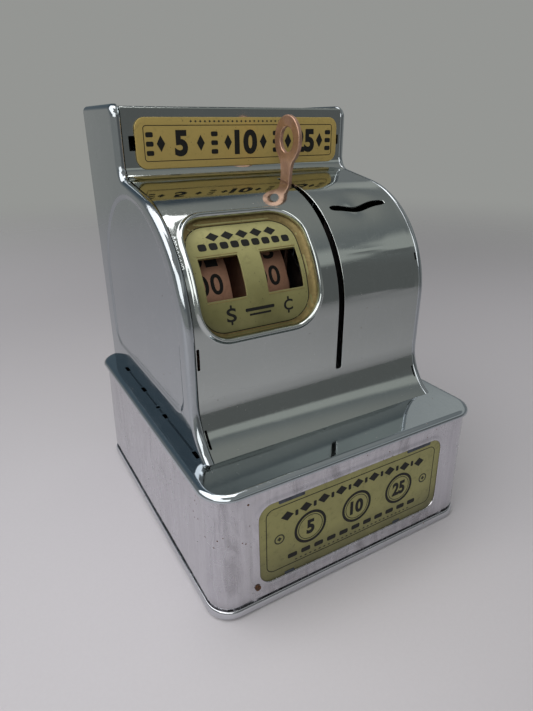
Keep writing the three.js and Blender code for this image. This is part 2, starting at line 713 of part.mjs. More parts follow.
function bellPost() {
  const nutTop = BELL_TOP + 3.2;
  const profile = [
    [0, LID.top],
    [BELL.post, LID.top],
    [BELL.post, BELL_TOP - GAP],
    [BELL.bore - GAP, BELL_TOP - GAP],
    [BELL.bore - GAP, BELL_TOP + SHEET + GAP],
    [2.8, BELL_TOP + SHEET + GAP],
    [2.8, nutTop],
    [0, nutTop],
  ];
  return piece('bell_post', latheZ(profile, 16), steel, BELL.x, BELL.y, 0);
}

function bellHammer() {
  const thick = 1.2;
  const arm = slabX(
    link([HAMMER.y, HAMMER.z], 2.6, [HAMMER.ballY, HAMMER.ballZ], 0.8),
    HAMMER.x,
    HAMMER.x + thick,
  );
  const middle = HAMMER.x + thick / 2;
  const ball = new THREE.SphereGeometry(HAMMER.ball, 14, 10).translate(middle, HAMMER.ballY, HAMMER.ballZ);
  const bore = rodX(1.15, HAMMER.x - 1, HAMMER.x + 3, HAMMER.y, HAMMER.z);
  return piece('bell_hammer', cut(join(arm, ball), bore), brass);
}

function hammerPin() {
  const pin = join(
    rodX(1, FRAME.right, HAMMER.x + 2.1, HAMMER.y, HAMMER.z),
    slabX(circle(HAMMER.y, HAMMER.z, 1.8, 16), HAMMER.x + 1.4, HAMMER.x + 2.1),
  );
  return piece('hammer_pin', pin, steel);
}

function frameScrew(name, [x, y]) {
  const seat = LID.top + SHEET;
  const profile = [
    [0, SCREW.tip],
    [SCREW.shank, SCREW.tip],
    [SCREW.shank, seat],
    [SCREW.head, seat],
    [SCREW.head * 0.9, seat + SCREW.headRise * 0.7],
    [SCREW.head * 0.5, seat + SCREW.headRise],
    [0, seat + SCREW.headRise],
  ];
  return piece(name, latheZ(profile, 16), steel, x, y, 0);
}

// ---- the whole register ----

function base() {
  return group(
    baseWall(),
    baseLid(),
    baseFloor(),
    baseLabel(),
    trapDoor(),
    doorHingePin(),
    doorLatch(),
    latchBracket(),
    latchPin(),
  );
}

function registerBody() {
  return group(
    sidePlate('left_side_plate', -1),
    sidePlate('right_side_plate', 1),
    frontPanel(),
    backPanel(),
    signPlate(),
    backLabel(),
    windowPlate(),
  );
}

function mechanism() {
  const shaftHole = circle(0, 0, SHAFT.radius + 0.05);
  const necks = spacerHoles(SPACER.neck + 0.1);
  const hammerHole = circle(...aboutShaft([HAMMER.y, HAMMER.z]), 1.05, 16);
  const rightHoles = [shaftHole, ...necks, hammerHole, circle(...CENTS_CLICK_PIVOT, 1.05, 16)];
  const centreHoles = [
    shaftHole,
    ...spacerHoles(SPACER.radius + 0.1),
    circle(...DOLLARS_CLICK_PIVOT, 1.05, 16),
    circle(...CARRY.pivot, 2.15),
  ];
  const parts = group(
    frame('left_frame', FRAME.left, 1, [shaftHole, ...necks]),
    frame('centre_frame', FRAME.centre, 0, centreHoles),
    frame('right_frame', FRAME.right, -1, rightHoles),
    spacer('front_spacer', SPACERS.front),
    spacer('rear_spacer', SPACERS.rear),
    spacer('top_spacer', SPACERS.top),
    piece('main_shaft', rodX(SHAFT.radius, SHAFT_SPAN.left, SHAFT_SPAN.right), steel),
    sleeve('left_sleeve', FRAME.left + SHEET, DOLLARS.left - GAP, 3.4, SHAFT.radius + 0.05, steel),
    sleeve('right_sleeve', SLEEVE.right + LEVER.thick + GAP, FRAME.right, 3.4, SHAFT.radius + 0.05, steel),
    drum('dollars_drum', DOLLARS, DOLLARS.right - SHEET),
    ratchet('dollars_ratchet', DOLLARS.right),
    pawl('dollars_click', DOLLARS_CLICK_TIP, DOLLARS.right + GAP),
    stubPin('dollars_click_pin', DOLLARS_CLICK_PIVOT, DOLLARS.right + 0.1, FRAME.centre + SHEET, FRAME.centre + 1.5),
    drum('cents_drum', CENTS, CENTS.left),
    ratchet('cents_ratchet', CENTS.right),
    pawl('cents_click', CENTS_CLICK_TIP, CENTS.right + GAP),
    stubPin('cents_click_pin', CENTS_CLICK_PIVOT, CENTS.right + 0.1, FRAME.right + SHEET, FRAME.right + 1.5),
    piece('carry_pin', rodX(1.2, CENTS.left - 2.4, CENTS.left, ...onWheel(-94, 24)), steel),
    carryLever(),
    lever(),
    sleeve('lever_sleeve', SLEEVE.left + 1.2, SLEEVE.right, SLEEVE.radius, SHAFT.bore, steel),
    driveArm(),
    stubPin('drive_pawl_pin', DRIVE_PIVOT, CENTS.right + 0.1, SLEEVE.left + 1.2, SLEEVE.left + 1.9),
    pawl('drive_pawl', DRIVE_TIP, CENTS.right + GAP),
    leverSpring(),
  );
  parts.position.set(0, ARCH.y, ARCH.z);
  return parts;
}

function coinWorks() {
  return group(
    coinChute(),
    coinFeeler(),
    feelerPin(),
    bell(),
    bellPost(),
    bellHammer(),
    hammerPin(),
    ...SCREWS.map((place, i) => frameScrew(`frame_screw_${i + 1}`, place)),
  );
}

export default group(base(), registerBody(), mechanism(), coinWorks());
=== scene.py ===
# Visual model of the coin register bank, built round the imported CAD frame.
# Modelling is in millimetres in the CAD frame: +X right, +Y back, +Z up. Blender objects are in metres.
import functools
import math
import bmesh
import bpy
import numpy as np
from mathutils import Matrix, Vector, noise
from mathutils.geometry import delaunay_2d_cdt


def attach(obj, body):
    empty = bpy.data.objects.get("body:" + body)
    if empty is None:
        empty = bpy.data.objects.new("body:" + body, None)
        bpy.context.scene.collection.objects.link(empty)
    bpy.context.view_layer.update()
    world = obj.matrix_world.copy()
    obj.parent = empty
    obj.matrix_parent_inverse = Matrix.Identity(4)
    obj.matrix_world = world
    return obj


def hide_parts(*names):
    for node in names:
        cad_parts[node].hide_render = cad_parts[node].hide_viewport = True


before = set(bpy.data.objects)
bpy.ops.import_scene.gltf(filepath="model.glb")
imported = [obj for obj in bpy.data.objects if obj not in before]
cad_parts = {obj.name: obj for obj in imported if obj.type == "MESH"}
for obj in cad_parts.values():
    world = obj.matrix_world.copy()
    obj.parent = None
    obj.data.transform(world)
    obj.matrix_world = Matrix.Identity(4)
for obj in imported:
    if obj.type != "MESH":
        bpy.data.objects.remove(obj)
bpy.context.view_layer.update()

MM = 0.001

# ---- dimensions shared with the CAD model ----

SHEET = 0.8
LID = {"half": (57.5, 63.5), "corner": 10, "top": 51, "roll": 2.4}
WALL = {"half": (56.7, 62.75), "corner": 8.5, "lean": 1.1}
FOOT = {"half": (57.3, 63.3), "corner": 9.1, "roll": 1.2}
BODY = {"half": 50.45, "back": 63.1, "top": 158.6, "flange": 3, "roll": 2}
SIGN = {"y": 20.5, "top": 157, "fillet": 5.4}
ARCH = {"y": 7.3, "z": 89.4, "radius": 42}
SLOPE = 10.3
FLARE = {"radius": 20.7, "z": 69}
PANEL_HALF = 47.25
WINDOW = {"x": -22, "half": 22.1, "corner": 10, "low": -0.3, "high": 56.5}
PLATE = {"radius": 39, "half": 24.2, "low": -4, "high": 61}
APERTURE = {"pitch": 22.4, "width": 14.4, "low": 16.2, "high": 37.4}
SLOT = {"x": 9.9, "half": 1.25, "low": 67.4, "back": 8.9}
COIN = {"x": 28.95, "y": -17, "half": 13.35, "gap": 1.45}
SIGN_PLATE = {"left": -43.1, "right": 45, "low": 137, "high": 154.3, "corner": 4, "front": 19.55}
BASE_LABEL = {"left": -40.2, "right": 40.5, "low": 9.5, "high": 41.5, "corner": 5}
BACK_LABEL = {"half": 36, "low": 66, "high": 142, "corner": 6}
DRUM = {"radius": 31, "rim": 0.7, "hub": 4.5, "bore": 2.15}
DRUMS = {"dollars": (-42.8, -27.5), "cents": (-20.5, -4.7)}
LEVER = {"x": (9.1, 10.7), "lean": 4.4, "hub": 6.5, "ring": 8.5, "at": 57.3, "hole": 4.5}
LEVER_NECK = [(3.15, 44), (3.3, 46.5), (3.9, 49.0)]
DOORWAY = (-51.6, 15.1, -38.6, 38.6)
PIN_END = (-41.3, 9.3)

# ---- small geometry helpers, all in a plane ----


def arc(ca, cb, radius, start, end, steps):
    """Points on an arc, angles in degrees."""
    angles = [math.radians(start + (end - start) * i / steps) for i in range(steps + 1)]
    return [(ca + radius * math.cos(a), cb + radius * math.sin(a)) for a in angles]


def rounded(left, right, low, high, corner, steps=8, spacing=None):
    """A rounded rectangle, anticlockwise, with points along its sides when spacing is given."""
    points = (arc(right - corner, low + corner, corner, -90, 0, steps)
              + arc(right - corner, high - corner, corner, 0, 90, steps)
              + arc(left + corner, high - corner, corner, 90, 180, steps)
              + arc(left + corner, low + corner, corner, 180, 270, steps))
    return densify(points, spacing) if spacing else points


def box(centre, half, corner, steps=8, spacing=None):
    """A rounded rectangle by its middle and half sizes."""
    return rounded(centre[0] - half[0], centre[0] + half[0], centre[1] - half[1], centre[1] + half[1],
                   corner, steps, spacing)


def middle_and_half(plate):
    """Middle and half sizes of a plate that is given by its four edges."""
    left, right, low, high = (plate[edge] for edge in ("left", "right", "low", "high"))
    return ((left + right) / 2, (low + high) / 2), ((right - left) / 2, (high - low) / 2)


def densify(loop, spacing):
    """Adds points so that no side of the loop is longer than spacing."""
    out = []
    for a, b in zip(loop, loop[1:] + loop[:1]):
        parts = max(1, math.ceil(math.dist(a, b) / spacing))
        out += [(a[0] + (b[0] - a[0]) * k / parts, a[1] + (b[1] - a[1]) * k / parts) for k in range(parts)]
    return out


def area(loop):
    return sum(a[0] * b[1] - b[0] * a[1] for a, b in zip(loop, loop[1:] + loop[:1])) / 2


def outward(loop):
    """Unit normals of a closed loop, pointing out of it."""
    sign = 1 if area(loop) > 0 else -1
    normals = []
    for before, after in zip(loop[-1:] + loop[:-1], loop[1:] + loop[:1]):
        da, db = after[0] - before[0], after[1] - before[1]
        size = math.hypot(da, db) or 1
        normals.append((sign * db / size, -sign * da / size))
    return normals


def grown(loop, amount):
    return [(p[0] + n[0] * amount, p[1] + n[1] * amount) for p, n in zip(loop, outward(loop))]


def inside(points, loop):
    """Which of the points (n x 2 array) lie inside the loop."""
    polygon = np.array(loop)
    following = np.roll(polygon, -1, axis=0)
    hit = np.zeros(len(points), bool)
    for (a0, b0), (a1, b1) in zip(polygon, following):
        if b0 == b1:
            continue
        crosses = (b0 > points[:, 1]) != (b1 > points[:, 1])
        hit ^= crosses & (points[:, 0] < (a1 - a0) * (points[:, 1] - b0) / (b1 - b0) + a0)
    return hit


LOOP_CLEARANCE = 0.3
GRID_CLEARANCE = 0.45


def triangulate(outer, holes, step, extra=()):
    """Triangles of a flat region with holes, on a grid of the given step and extra points. Extra points
    too close to a loop are left out, and so are grid points too close to a loop or an extra point.
    Returns points, triangles and each loop's indices."""
    loops = [outer] + list(holes)
    points, edges = [], []
    for loop in loops:
        first = len(points)
        points += loop
        edges += [(first + i, first + (i + 1) % len(loop)) for i in range(len(loop))]
    if step:
        low, high = np.array(outer).min(0), np.array(outer).max(0)
        counts = [max(2, math.ceil((h - l) / s)) for l, h, s in zip(low, high, step)]
        grid = np.array([(a, b) for a in np.linspace(low[0], high[0], counts[0])
                         for b in np.linspace(low[1], high[1], counts[1])])
        keep = inside(grid, outer)
        border = np.array(points)
        if len(extra):
            spare = np.array(extra)
            spare = spare[inside(spare, outer)]
            spare = spare[np.array([np.min(np.hypot(*(border - p).T)) for p in spare]) > LOOP_CLEARANCE]
            border = np.concatenate([border, spare])
            points += [tuple(p) for p in spare]
        near = np.array([np.min(np.hypot(*(border - g).T)) for g in grid])
        keep &= near > GRID_CLEARANCE * min(step)
        for hole in holes:
            keep &= ~inside(grid, hole)
        points += [tuple(g) for g in grid[keep]]
    verts, _, faces, origin, _, _ = delaunay_2d_cdt([Vector(p) for p in points], edges, [], 0, 1e-5)
    flat = np.array([(v.x, v.y) for v in verts])
    centres = np.array([flat[list(f)].mean(0) for f in faces])
    keep = inside(centres, outer)
    for hole in holes:
        keep &= ~inside(centres, hole)
    place = {old: new for new, olds in enumerate(origin) for old in olds}
    indices, first = [], 0
    for loop in loops:
        indices.append([place[first + i] for i in range(len(loop))])
        first += len(loop)
    triangles = []
    for face, kept in zip(faces, keep):
        if kept:
            a, b, c = (flat[i] for i in face)
            turn = (b[0] - a[0]) * (c[1] - a[1]) - (b[1] - a[1]) * (c[0] - a[0])
            triangles.append(tuple(face) if turn > 0 else tuple(reversed(face)))
    return [tuple(p) for p in flat], triangles, indices


# ---- curves down the front and back of the body ----


class Line:
    def __init__(self, start, end):
        self.start, self.length = start, math.dist(start, end)
        self.way = ((end[0] - start[0]) / self.length, (end[1] - start[1]) / self.length)

    def at(self, s):
        (a, b), (da, db) = self.start, self.way
        return a + da * s, b + db * s, db, -da


class Arc:
    def __init__(self, centre, radius, start, end):
        self.centre, self.radius, self.start = centre, radius, math.radians(start)
        self.sign = 1 if end > start else -1
        self.length = radius * math.radians(abs(end - start))

    def at(self, s):
        angle = self.start + self.sign * s / self.radius
        ca, sa = math.cos(angle), math.sin(angle)
        place = self.centre[0] + self.radius * ca, self.centre[1] + self.radius * sa
        return *place, self.sign * ca, self.sign * sa


class Path:
    """Joined lines and arcs, by length from the start. The normal is on the right of the walk, or on the
    left when side is -1."""

    def __init__(self, *parts, side=1):
        self.parts, self.side = parts, side
        self.length = sum(p.length for p in parts)

    def at(self, s):
        rest = s
        for part in self.parts:
            if rest <= part.length or part is self.parts[-1]:
                y, z, ny, nz = part.at(rest)
                return y, z, ny * self.side, nz * self.side
            rest -= part.length

    def surface(self, u, v):
        """The path in (y, z), drawn out along X."""
        y, z, ny, nz = self.at(v)
        return Vector((u, y, z)), Vector((0, ny, nz))


def front_parts(inset=0, top=SIGN["top"]):
    """Sign face, fillet, shoulder, arch, apron and flare, set in from the outside."""
    fillet_y = SIGN["y"] - SIGN["fillet"]
    slope = math.radians(SLOPE)
    tangent = (ARCH["y"] - ARCH["radius"] * math.sin(slope), ARCH["z"] + ARCH["radius"] * math.cos(slope))
    fillet_z = tangent[1] + (fillet_y - tangent[0]) * math.tan(slope) + SIGN["fillet"] / math.cos(slope)
    fillet = Arc((fillet_y, fillet_z), SIGN["fillet"] + inset, 0, SLOPE - 90)
    arch = Arc((ARCH["y"], ARCH["z"]), ARCH["radius"] - inset, 90 + SLOPE, 180)
    flare_end = math.degrees(math.asin((FLARE["z"] - LID["top"]) / (FLARE["radius"] + inset)))
    flare_centre = (ARCH["y"] - ARCH["radius"] - FLARE["radius"], FLARE["z"])
    flare = Arc(flare_centre, FLARE["radius"] + inset, 0, -flare_end)
    sign = Line((SIGN["y"] + inset, top), fillet.at(0)[:2])
    shoulder = Line(fillet.at(fillet.length)[:2], arch.at(0)[:2])
    apron = Line(arch.at(arch.length)[:2], flare.at(0)[:2])
    return sign, fillet, shoulder, arch, apron, flare


FRONT = Path(*front_parts())
ARCH_START = sum(part.length for part in FRONT.parts[:3])


def arch_s(angle):
    """Length along the front to a place on the arch, angle in degrees above the shaft towards the front."""
    return ARCH_START + ARCH["radius"] * math.radians(90 - SLOPE - angle)


ALONG_X, UP = Vector((1, 0, 0)), Vector((0, 0, 1))


def plane(origin, across, up):
    """A flat surface in u along across and v along up, facing across x up."""
    normal = across.cross(up)
    return lambda u, v: (origin + across * u + up * v, normal)


def drumlike(radius):
    """A cylinder about the shaft: u along X, v the length from the horizontal, upwards, on radius."""
    def surface(u, v):
        angle = v / radius
        normal = Vector((0, -math.cos(angle), math.sin(angle)))
        return Vector((u, ARCH["y"], ARCH["z"])) + normal * radius, normal
    return surface


# ---- making objects ----

SHARP = 35
NUDGE = 0.05


def finish_piece(mesh, name, look, body, replaces=()):
    """Makes a visible piece that rides on a CAD body and stands in for the CAD nodes that it replaces."""
    mesh.materials.append(look)
    piece = bpy.data.objects.new(name, mesh)
    bpy.context.scene.collection.objects.link(piece)
    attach(piece, body)
    if replaces:
        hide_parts(*replaces)
    return piece


def mesh_from(name, verts, faces):
    mesh = bpy.data.meshes.new(name)
    mesh.from_pydata([[c * MM for c in v] for v in verts], [], faces)
    bm = bmesh.new()
    bm.from_mesh(mesh)
    bmesh.ops.remove_doubles(bm, verts=bm.verts, dist=1e-7)
    bmesh.ops.recalc_face_normals(bm, faces=bm.faces)
    bm.to_mesh(mesh)
    bm.free()
    mesh.shade_smooth()
    return mesh


def soften(piece, bevel=0):
    """Bevels sharp edges and weights normals by face area."""
    if bevel:
        edge = piece.modifiers.new("edge", "BEVEL")
        edge.width = bevel * MM
        edge.segments = 2
        edge.limit_method = "ANGLE"
        edge.angle_limit = math.radians(SHARP)
    weighted = piece.modifiers.new("weighted", "WEIGHTED_NORMAL")
    weighted.keep_sharp = True


class Sheet:
    """A bent sheet of metal from a flat region: outer and holes are (points, rim) pairs. A rim is a list of
    (away, down) steps from the front edge to the back edge: away from the metal and down from its face."""

    def __init__(self, surface, outer, holes=(), step=None, thick=SHEET, relief=None, lift=0, extra=()):
        self.surface, self.relief, self.lift = surface, relief, lift
        loops = [outer] + list(holes)
        flat, self.front, indices = triangulate(loops[0][0], [h[0] for h in holes], step, extra)
        count = len(flat)
        normals = [self.normal(*p) for p in flat]
        self.verts = [self.place(*p) for p in flat] + [self.place(*p, -thick) for p in flat]
        a, b, c = (self.verts[i] for i in self.front[0])
        self.sign = 1 if (b - a).cross(c - a).dot(normals[self.front[0][0]]) > 0 else -1
        self.faces = list(self.front) + [tuple(i + count for i in reversed(t)) for t in self.front]
        self.loop_normals = [normals[i] for t in self.front for i in t]
        self.loop_normals += [-normals[i] for t in self.front for i in reversed(t)]
        for number, ((points, rim), place) in enumerate(zip(loops, indices)):
            self.add_rim(points, rim, place, count, normals, number > 0)

    def height(self, u, v):
        return self.lift + (self.relief(u, v) if self.relief else 0)

    def place(self, u, v, down=0):
        point, normal = self.surface(u, v)
        return point + normal * (self.height(u, v) + down)

    def normal(self, u, v):
        if not self.relief:
            return self.surface(u, v)[1]
        across = self.place(u + NUDGE, v) - self.place(u - NUDGE, v)
        along = self.place(u, v + NUDGE) - self.place(u, v - NUDGE)
        normal = across.cross(along).normalized()
        return normal if normal.dot(self.surface(u, v)[1]) > 0 else -normal

    def add_rim(self, points, rim, place, count, normals, is_hole):
        ways = outward(points)
        if is_hole:
            ways = [(-a, -b) for a, b in ways]
        rings = [place]
        for away, down in rim:
            first = len(self.verts)
            for (u, v), (a, b) in zip(points, ways):
                point, normal = self.surface(u + a * away, v + b * away)
                self.verts.append(point + normal * (self.height(u, v) - down))
            rings.append(list(range(first, first + len(points))))
        rings.append([i + count for i in place])
        facing = 1 if (area(points) > 0) != is_hole else -1
        quads = []
        for upper, lower in zip(rings[:-1], rings[1:]):
            for i in range(len(points)):
                j = (i + 1) % len(points)
                quad = (upper[j], upper[i], lower[i], lower[j])
                quads.append(quad if facing > 0 else tuple(reversed(quad)))
        shared = {}
        flats = []
        for quad in quads:
            a, b, c, d = (self.verts[i] for i in quad)
            flats.append((c - a).cross(d - b) * self.sign)
            for i in quad:
                shared[i] = shared.get(i, Vector((0, 0, 0))) + flats[-1]
        smooth = len(rim) > 2
        for quad, flat in zip(quads, flats):
            self.faces.append(quad)
            for i in quad:
                if smooth and i < count:
                    self.loop_normals.append(normals[i])
                else:
                    self.loop_normals.append((shared[i] if smooth else flat).normalized())

    def build(self, name, look, slot, body="housing", replaces=()):
        faces, normals = self.faces, self.loop_normals
        if self.sign < 0:
            faces = [tuple(reversed(face)) for face in self.faces]
            ends = np.cumsum([len(face) for face in self.faces])
            normals = [n for face, end in zip(self.faces, ends)
                       for n in reversed(self.loop_normals[end - len(face):end])]
        mesh = bpy.data.meshes.new(name)
        mesh.from_pydata([v * MM for v in self.verts], [], faces)
        mesh.shade_smooth()
        mesh.normals_split_custom_set([tuple(n) for n in normals])
        return finish_piece(mesh, name, look, body, replaces)


def loft(rings, close_rings=False, caps=False):
    """Quads between closed rings of equally many points; the last ring may join the first, or have caps."""
    count = len(rings[0])
    verts = [p for ring in rings for p in ring]
    faces = []
    pairs = len(rings) if close_rings else len(rings) - 1
    for k in range(pairs):
        a, b = k * count, ((k + 1) % len(rings)) * count
        faces += [(a + i, a + (i + 1) % count, b + (i + 1) % count, b + i) for i in range(count)]
    if caps:
        faces += [tuple(range(count)), tuple(range((len(rings) - 1) * count, len(rings) * count))]
    return verts, faces


def lathe(profile, segments):
    """A closed profile of (radius, x) turned about the shaft."""
    rings = []
    for k in range(segments):
        ca, sa = math.cos(2 * math.pi * k / segments), math.sin(2 * math.pi * k / segments)
        rings.append([(x, ARCH["y"] + r * ca, ARCH["z"] + r * sa) for r, x in profile])
    return loft(rings, close_rings=True)


def edge_rim(radius, thick=SHEET):
    """Rim of a cut edge with a small round on the face side and a slight chamfer on the back."""
    turns = [math.radians(a) for a in (30, 60, 90)]
    rim = [(radius * math.sin(a), radius * (1 - math.cos(a))) for a in turns]
    return rim + [(radius, thick - 0.05), (radius * 0.8, thick)]


# ---- materials ----


class Nodes:
    """A node tree under construction."""

    def __init__(self, owner):
        owner.use_nodes = True
        self.tree = owner.node_tree

    def node(self, kind, **settings):
        made = self.tree.nodes.new(kind)
        for key, value in settings.items():
            setattr(made, key, value)
        return made

    def plug(self, socket, value):
        if isinstance(value, bpy.types.NodeSocket):
            self.tree.links.new(value, socket)
        elif isinstance(value, tuple) and len(value) == 3 and socket.type == "RGBA":
            socket.default_value = (*value, 1)
        else:
            socket.default_value = value

    def span(self, value, low, high, to_low=0, to_high=1, kind="SMOOTHSTEP"):
        """Carries low to high over to the second pair, held at its ends."""
        made = self.node("ShaderNodeMapRange", interpolation_type=kind)
        for name, given in zip(("Value", "From Min", "From Max", "To Min", "To Max"),
                               (value, low, high, to_low, to_high)):
            self.plug(made.inputs[name], given)
        return made.outputs["Result"]

    def maths(self, operation, a, b=0.0):
        made = self.node("ShaderNodeMath", operation=operation)
        self.plug(made.inputs[0], a)
        self.plug(made.inputs[1], b)
        return made.outputs[0]

    def times(self, a, b):
        return self.maths("MULTIPLY", a, b)

    def plus(self, a, b):
        return self.maths("ADD", a, b)

    def mix(self, amount, a, b, blend="MIX"):
        made = self.node("ShaderNodeMix", data_type="RGBA", blend_type=blend)
        self.plug(made.inputs["Factor"], amount)
        self.plug(made.inputs[6], a)
        self.plug(made.inputs[7], b)
        return made.outputs[2]


class Paint(Nodes):
    """A material under construction. Patterns are placed in object space, in millimetres."""

    def __init__(self, name):
        self.material = bpy.data.materials.new(name)
        super().__init__(self.material)
        self.shader = self.tree.nodes["Principled BSDF"]
        self.place = self.node("ShaderNodeTexCoord").outputs["Object"]

    def spread(self, size, stretch=(1, 1, 1)):
        """Coordinates in which a unit is size millimetres, times stretch along each axis."""
        scaled = self.node("ShaderNodeVectorMath", operation="MULTIPLY")
        self.plug(scaled.inputs[0], self.place)
        scaled.inputs[1].default_value = [1 / (size * MM * s) for s in stretch]
        return scaled.outputs[0]

    def noise(self, size, detail=3, rough=0.5, stretch=(1, 1, 1), twist=0):
        made = self.node("ShaderNodeTexNoise")
        self.plug(made.inputs["Vector"], self.spread(size, stretch))
        for key, value in (("Scale", 1), ("Detail", detail), ("Roughness", rough), ("Distortion", twist)):
            made.inputs[key].default_value = value
        return made.outputs["Fac"]

    def cells(self, size):
        made = self.node("ShaderNodeTexVoronoi")
        self.plug(made.inputs["Vector"], self.spread(size))
        made.inputs["Scale"].default_value = 1
        return made.outputs["Distance"]

    def axis(self, which):
        split = self.node("ShaderNodeSeparateXYZ")
        self.plug(split.inputs[0], self.place)
        return split.outputs[which]

    def near(self, centre, low, high):
        """1 within low millimetres of a place and 0 beyond high."""
        away = self.node("ShaderNodeVectorMath", operation="DISTANCE")
        self.plug(away.inputs[0], self.place)
        away.inputs[1].default_value = [c * MM for c in centre]
        return self.span(away.outputs["Value"], low * MM, high * MM, 1, 0)

    def bumps(self, *layers):
        """Layers of (height, depth in millimetres), stacked."""
        normal = None
        for height, depth in layers:
            made = self.node("ShaderNodeBump")
            made.inputs["Strength"].default_value = 1
            made.inputs["Distance"].default_value = depth * MM
            self.plug(made.inputs["Height"], height)
            if normal:
                self.plug(made.inputs["Normal"], normal)
            normal = made.outputs[0]
        self.plug(self.shader.inputs["Normal"], normal)

    def finish(self, colour, rough, metal=0.0, **more):
        self.plug(self.shader.inputs["Base Color"], colour)
        self.plug(self.shader.inputs["Roughness"], rough)
        self.plug(self.shader.inputs["Metallic"], metal)
        for key, value in more.items():
            self.plug(self.shader.inputs[key.replace("_", " ")], value)
        return self.material


RUST_DARK = (0.045, 0.022, 0.012)
RUST_LIGHT = (0.20, 0.085, 0.032)
SCRATCH = (0.72, 0.73, 0.76)
DUST = (0.62, 0.62, 0.60)
DRAW_MARK = (0.78, 0.76, 0.82)
STAIN = (0.24, 0.23, 0.245)
# Tone of the patchy darkening towards the foot of the coin box wall.
DARK_AT_FOOT = (0.13, 0.11, 0.10)
SPECK = (0.05, 0.035, 0.02)
RUBBED_INK = (0.085, 0.08, 0.05)


def scaled(tone, factor):
    return tuple(min(1, channel * factor) for channel in tone)


def scratches(paint, size, stretch):
    """Thin broken lines, 1 on a scratch."""
    lines = paint.noise(size, 2, 0.6, stretch, 0.4)
    ridge = paint.maths("ABSOLUTE", paint.maths("SUBTRACT", lines, 0.5))
    return paint.span(ridge, 0.0, 0.012, 1, 0)


def rust_over(paint, colour, rough, metal, amount, spots=()):
    """Adds pits and blooms of rust. amount runs from 0, none, upwards."""
    pits = paint.span(paint.cells(3.1), 0.045 * amount, 0.075 * amount, 1, 0)
    where = paint.span(paint.noise(26, 2), 0.5, 0.62)
    mask = paint.times(pits, where)
    for centre, size in spots:
        ragged = paint.plus(paint.near(centre, 0.2 * size, size), paint.noise(0.9, 3, 0.6))
        mask = paint.maths("MAXIMUM", mask, paint.span(ragged, 0.92, 1.12))
    tone = paint.mix(paint.noise(0.7, 4, 0.7), RUST_DARK, RUST_LIGHT)
    rough = paint.maths("MAXIMUM", rough, paint.times(mask, 0.85))
    metal = paint.maths("SUBTRACT", metal, paint.times(mask, 0.9))
    return paint.mix(mask, colour, tone), rough, metal, mask


def mirror_nickel(name, tone, haze, ripple, rust):
    """Bright nickel plate: soft ripples of the pressed sheet, smears, hairlines, dust and a few pits."""
    paint = Paint(name)
    clouds = paint.noise(34, 3, 0.55)
    smears = paint.span(paint.noise(11, 4, 0.6, (2.5, 2.5, 0.8), 0.6), 0.48, 0.75)
    hair = paint.maths("MAXIMUM", scratches(paint, 9, (1.2, 1.2, 0.25)),
                       scratches(paint, 13, (0.2, 1.6, 1.6)))
    dust = paint.span(paint.cells(1.9), 0.05, 0.09, 1, 0)
    dust = paint.times(dust, paint.span(paint.noise(17, 2), 0.5, 0.6, 0, 0.55))
    colour = paint.mix(clouds, scaled(tone, 0.93), scaled(tone, 1.06))
    colour = paint.mix(paint.times(hair, 0.12), colour, SCRATCH)
    rough = haze
    for pattern, share in ((smears, 0.09), (hair, 0.05), (dust, 0.4)):
        rough = paint.plus(rough, paint.times(pattern, share))
    colour, rough, metal, mask = rust_over(paint, colour, rough, 1.0, rust)
    colour = paint.mix(dust, colour, DUST)
    paint.bumps((paint.noise(30, 1, 0.4), ripple), (paint.noise(5, 2, 0.5), 0.006), (hair, -0.002),
                (mask, 0.03))
    return paint.finish(colour, rough, metal)


def satin_nickel(name, tone, spots):
    """Dulled nickel of the coin box walls: vertical draw marks, stains that are stronger at the front,
    patchy darkening towards the foot and small rust pits."""
    paint = Paint(name)
    streaks = paint.noise(1.5, 3, 0.6, (1, 1, 30))
    broad = paint.noise(9, 3, 0.6, (1, 1, 5), 0.5)
    stain = paint.noise(11, 5, 0.68, (1, 1, 3.2), 0.8)
    hair = paint.maths("MAXIMUM", scratches(paint, 7, (1, 1, 4)), scratches(paint, 12, (3, 3, 0.5)))
    colour = paint.mix(broad, scaled(tone, 0.82), scaled(tone, 1.1))
    colour = paint.mix(paint.span(streaks, 0.35, 0.75, 0, 0.3), colour, DRAW_MARK)
    share = paint.span(paint.axis(1), -62 * MM, -54 * MM, 0.62, 0.22)
    colour = paint.mix(paint.times(paint.span(stain, 0.46, 0.74), share), colour, STAIN)
    # Patchy darkening towards the foot of the wall, strongest at the bottom.
    low = paint.span(paint.axis(2), 4 * MM, 9 * MM, 0.3, 0)
    darkening_at_foot = paint.times(low, paint.span(paint.noise(5, 4, 0.7, (1, 1, 2)), 0.35, 0.65))
    colour = paint.mix(darkening_at_foot, colour, DARK_AT_FOOT)
    rough = paint.span(broad, 0.3, 0.7, 0.14, 0.23)
    rough = paint.plus(rough, paint.span(stain, 0.5, 0.8, 0, 0.14))
    rough = paint.plus(rough, paint.times(hair, 0.1))
    colour, rough, metal, mask = rust_over(paint, colour, rough, 1.0, 1.5, spots)
    paint.bumps((paint.noise(26, 2, 0.4), 0.18), (streaks, 0.012), (hair, -0.008), (mask, 0.04))
    return paint.finish(colour, rough, metal)


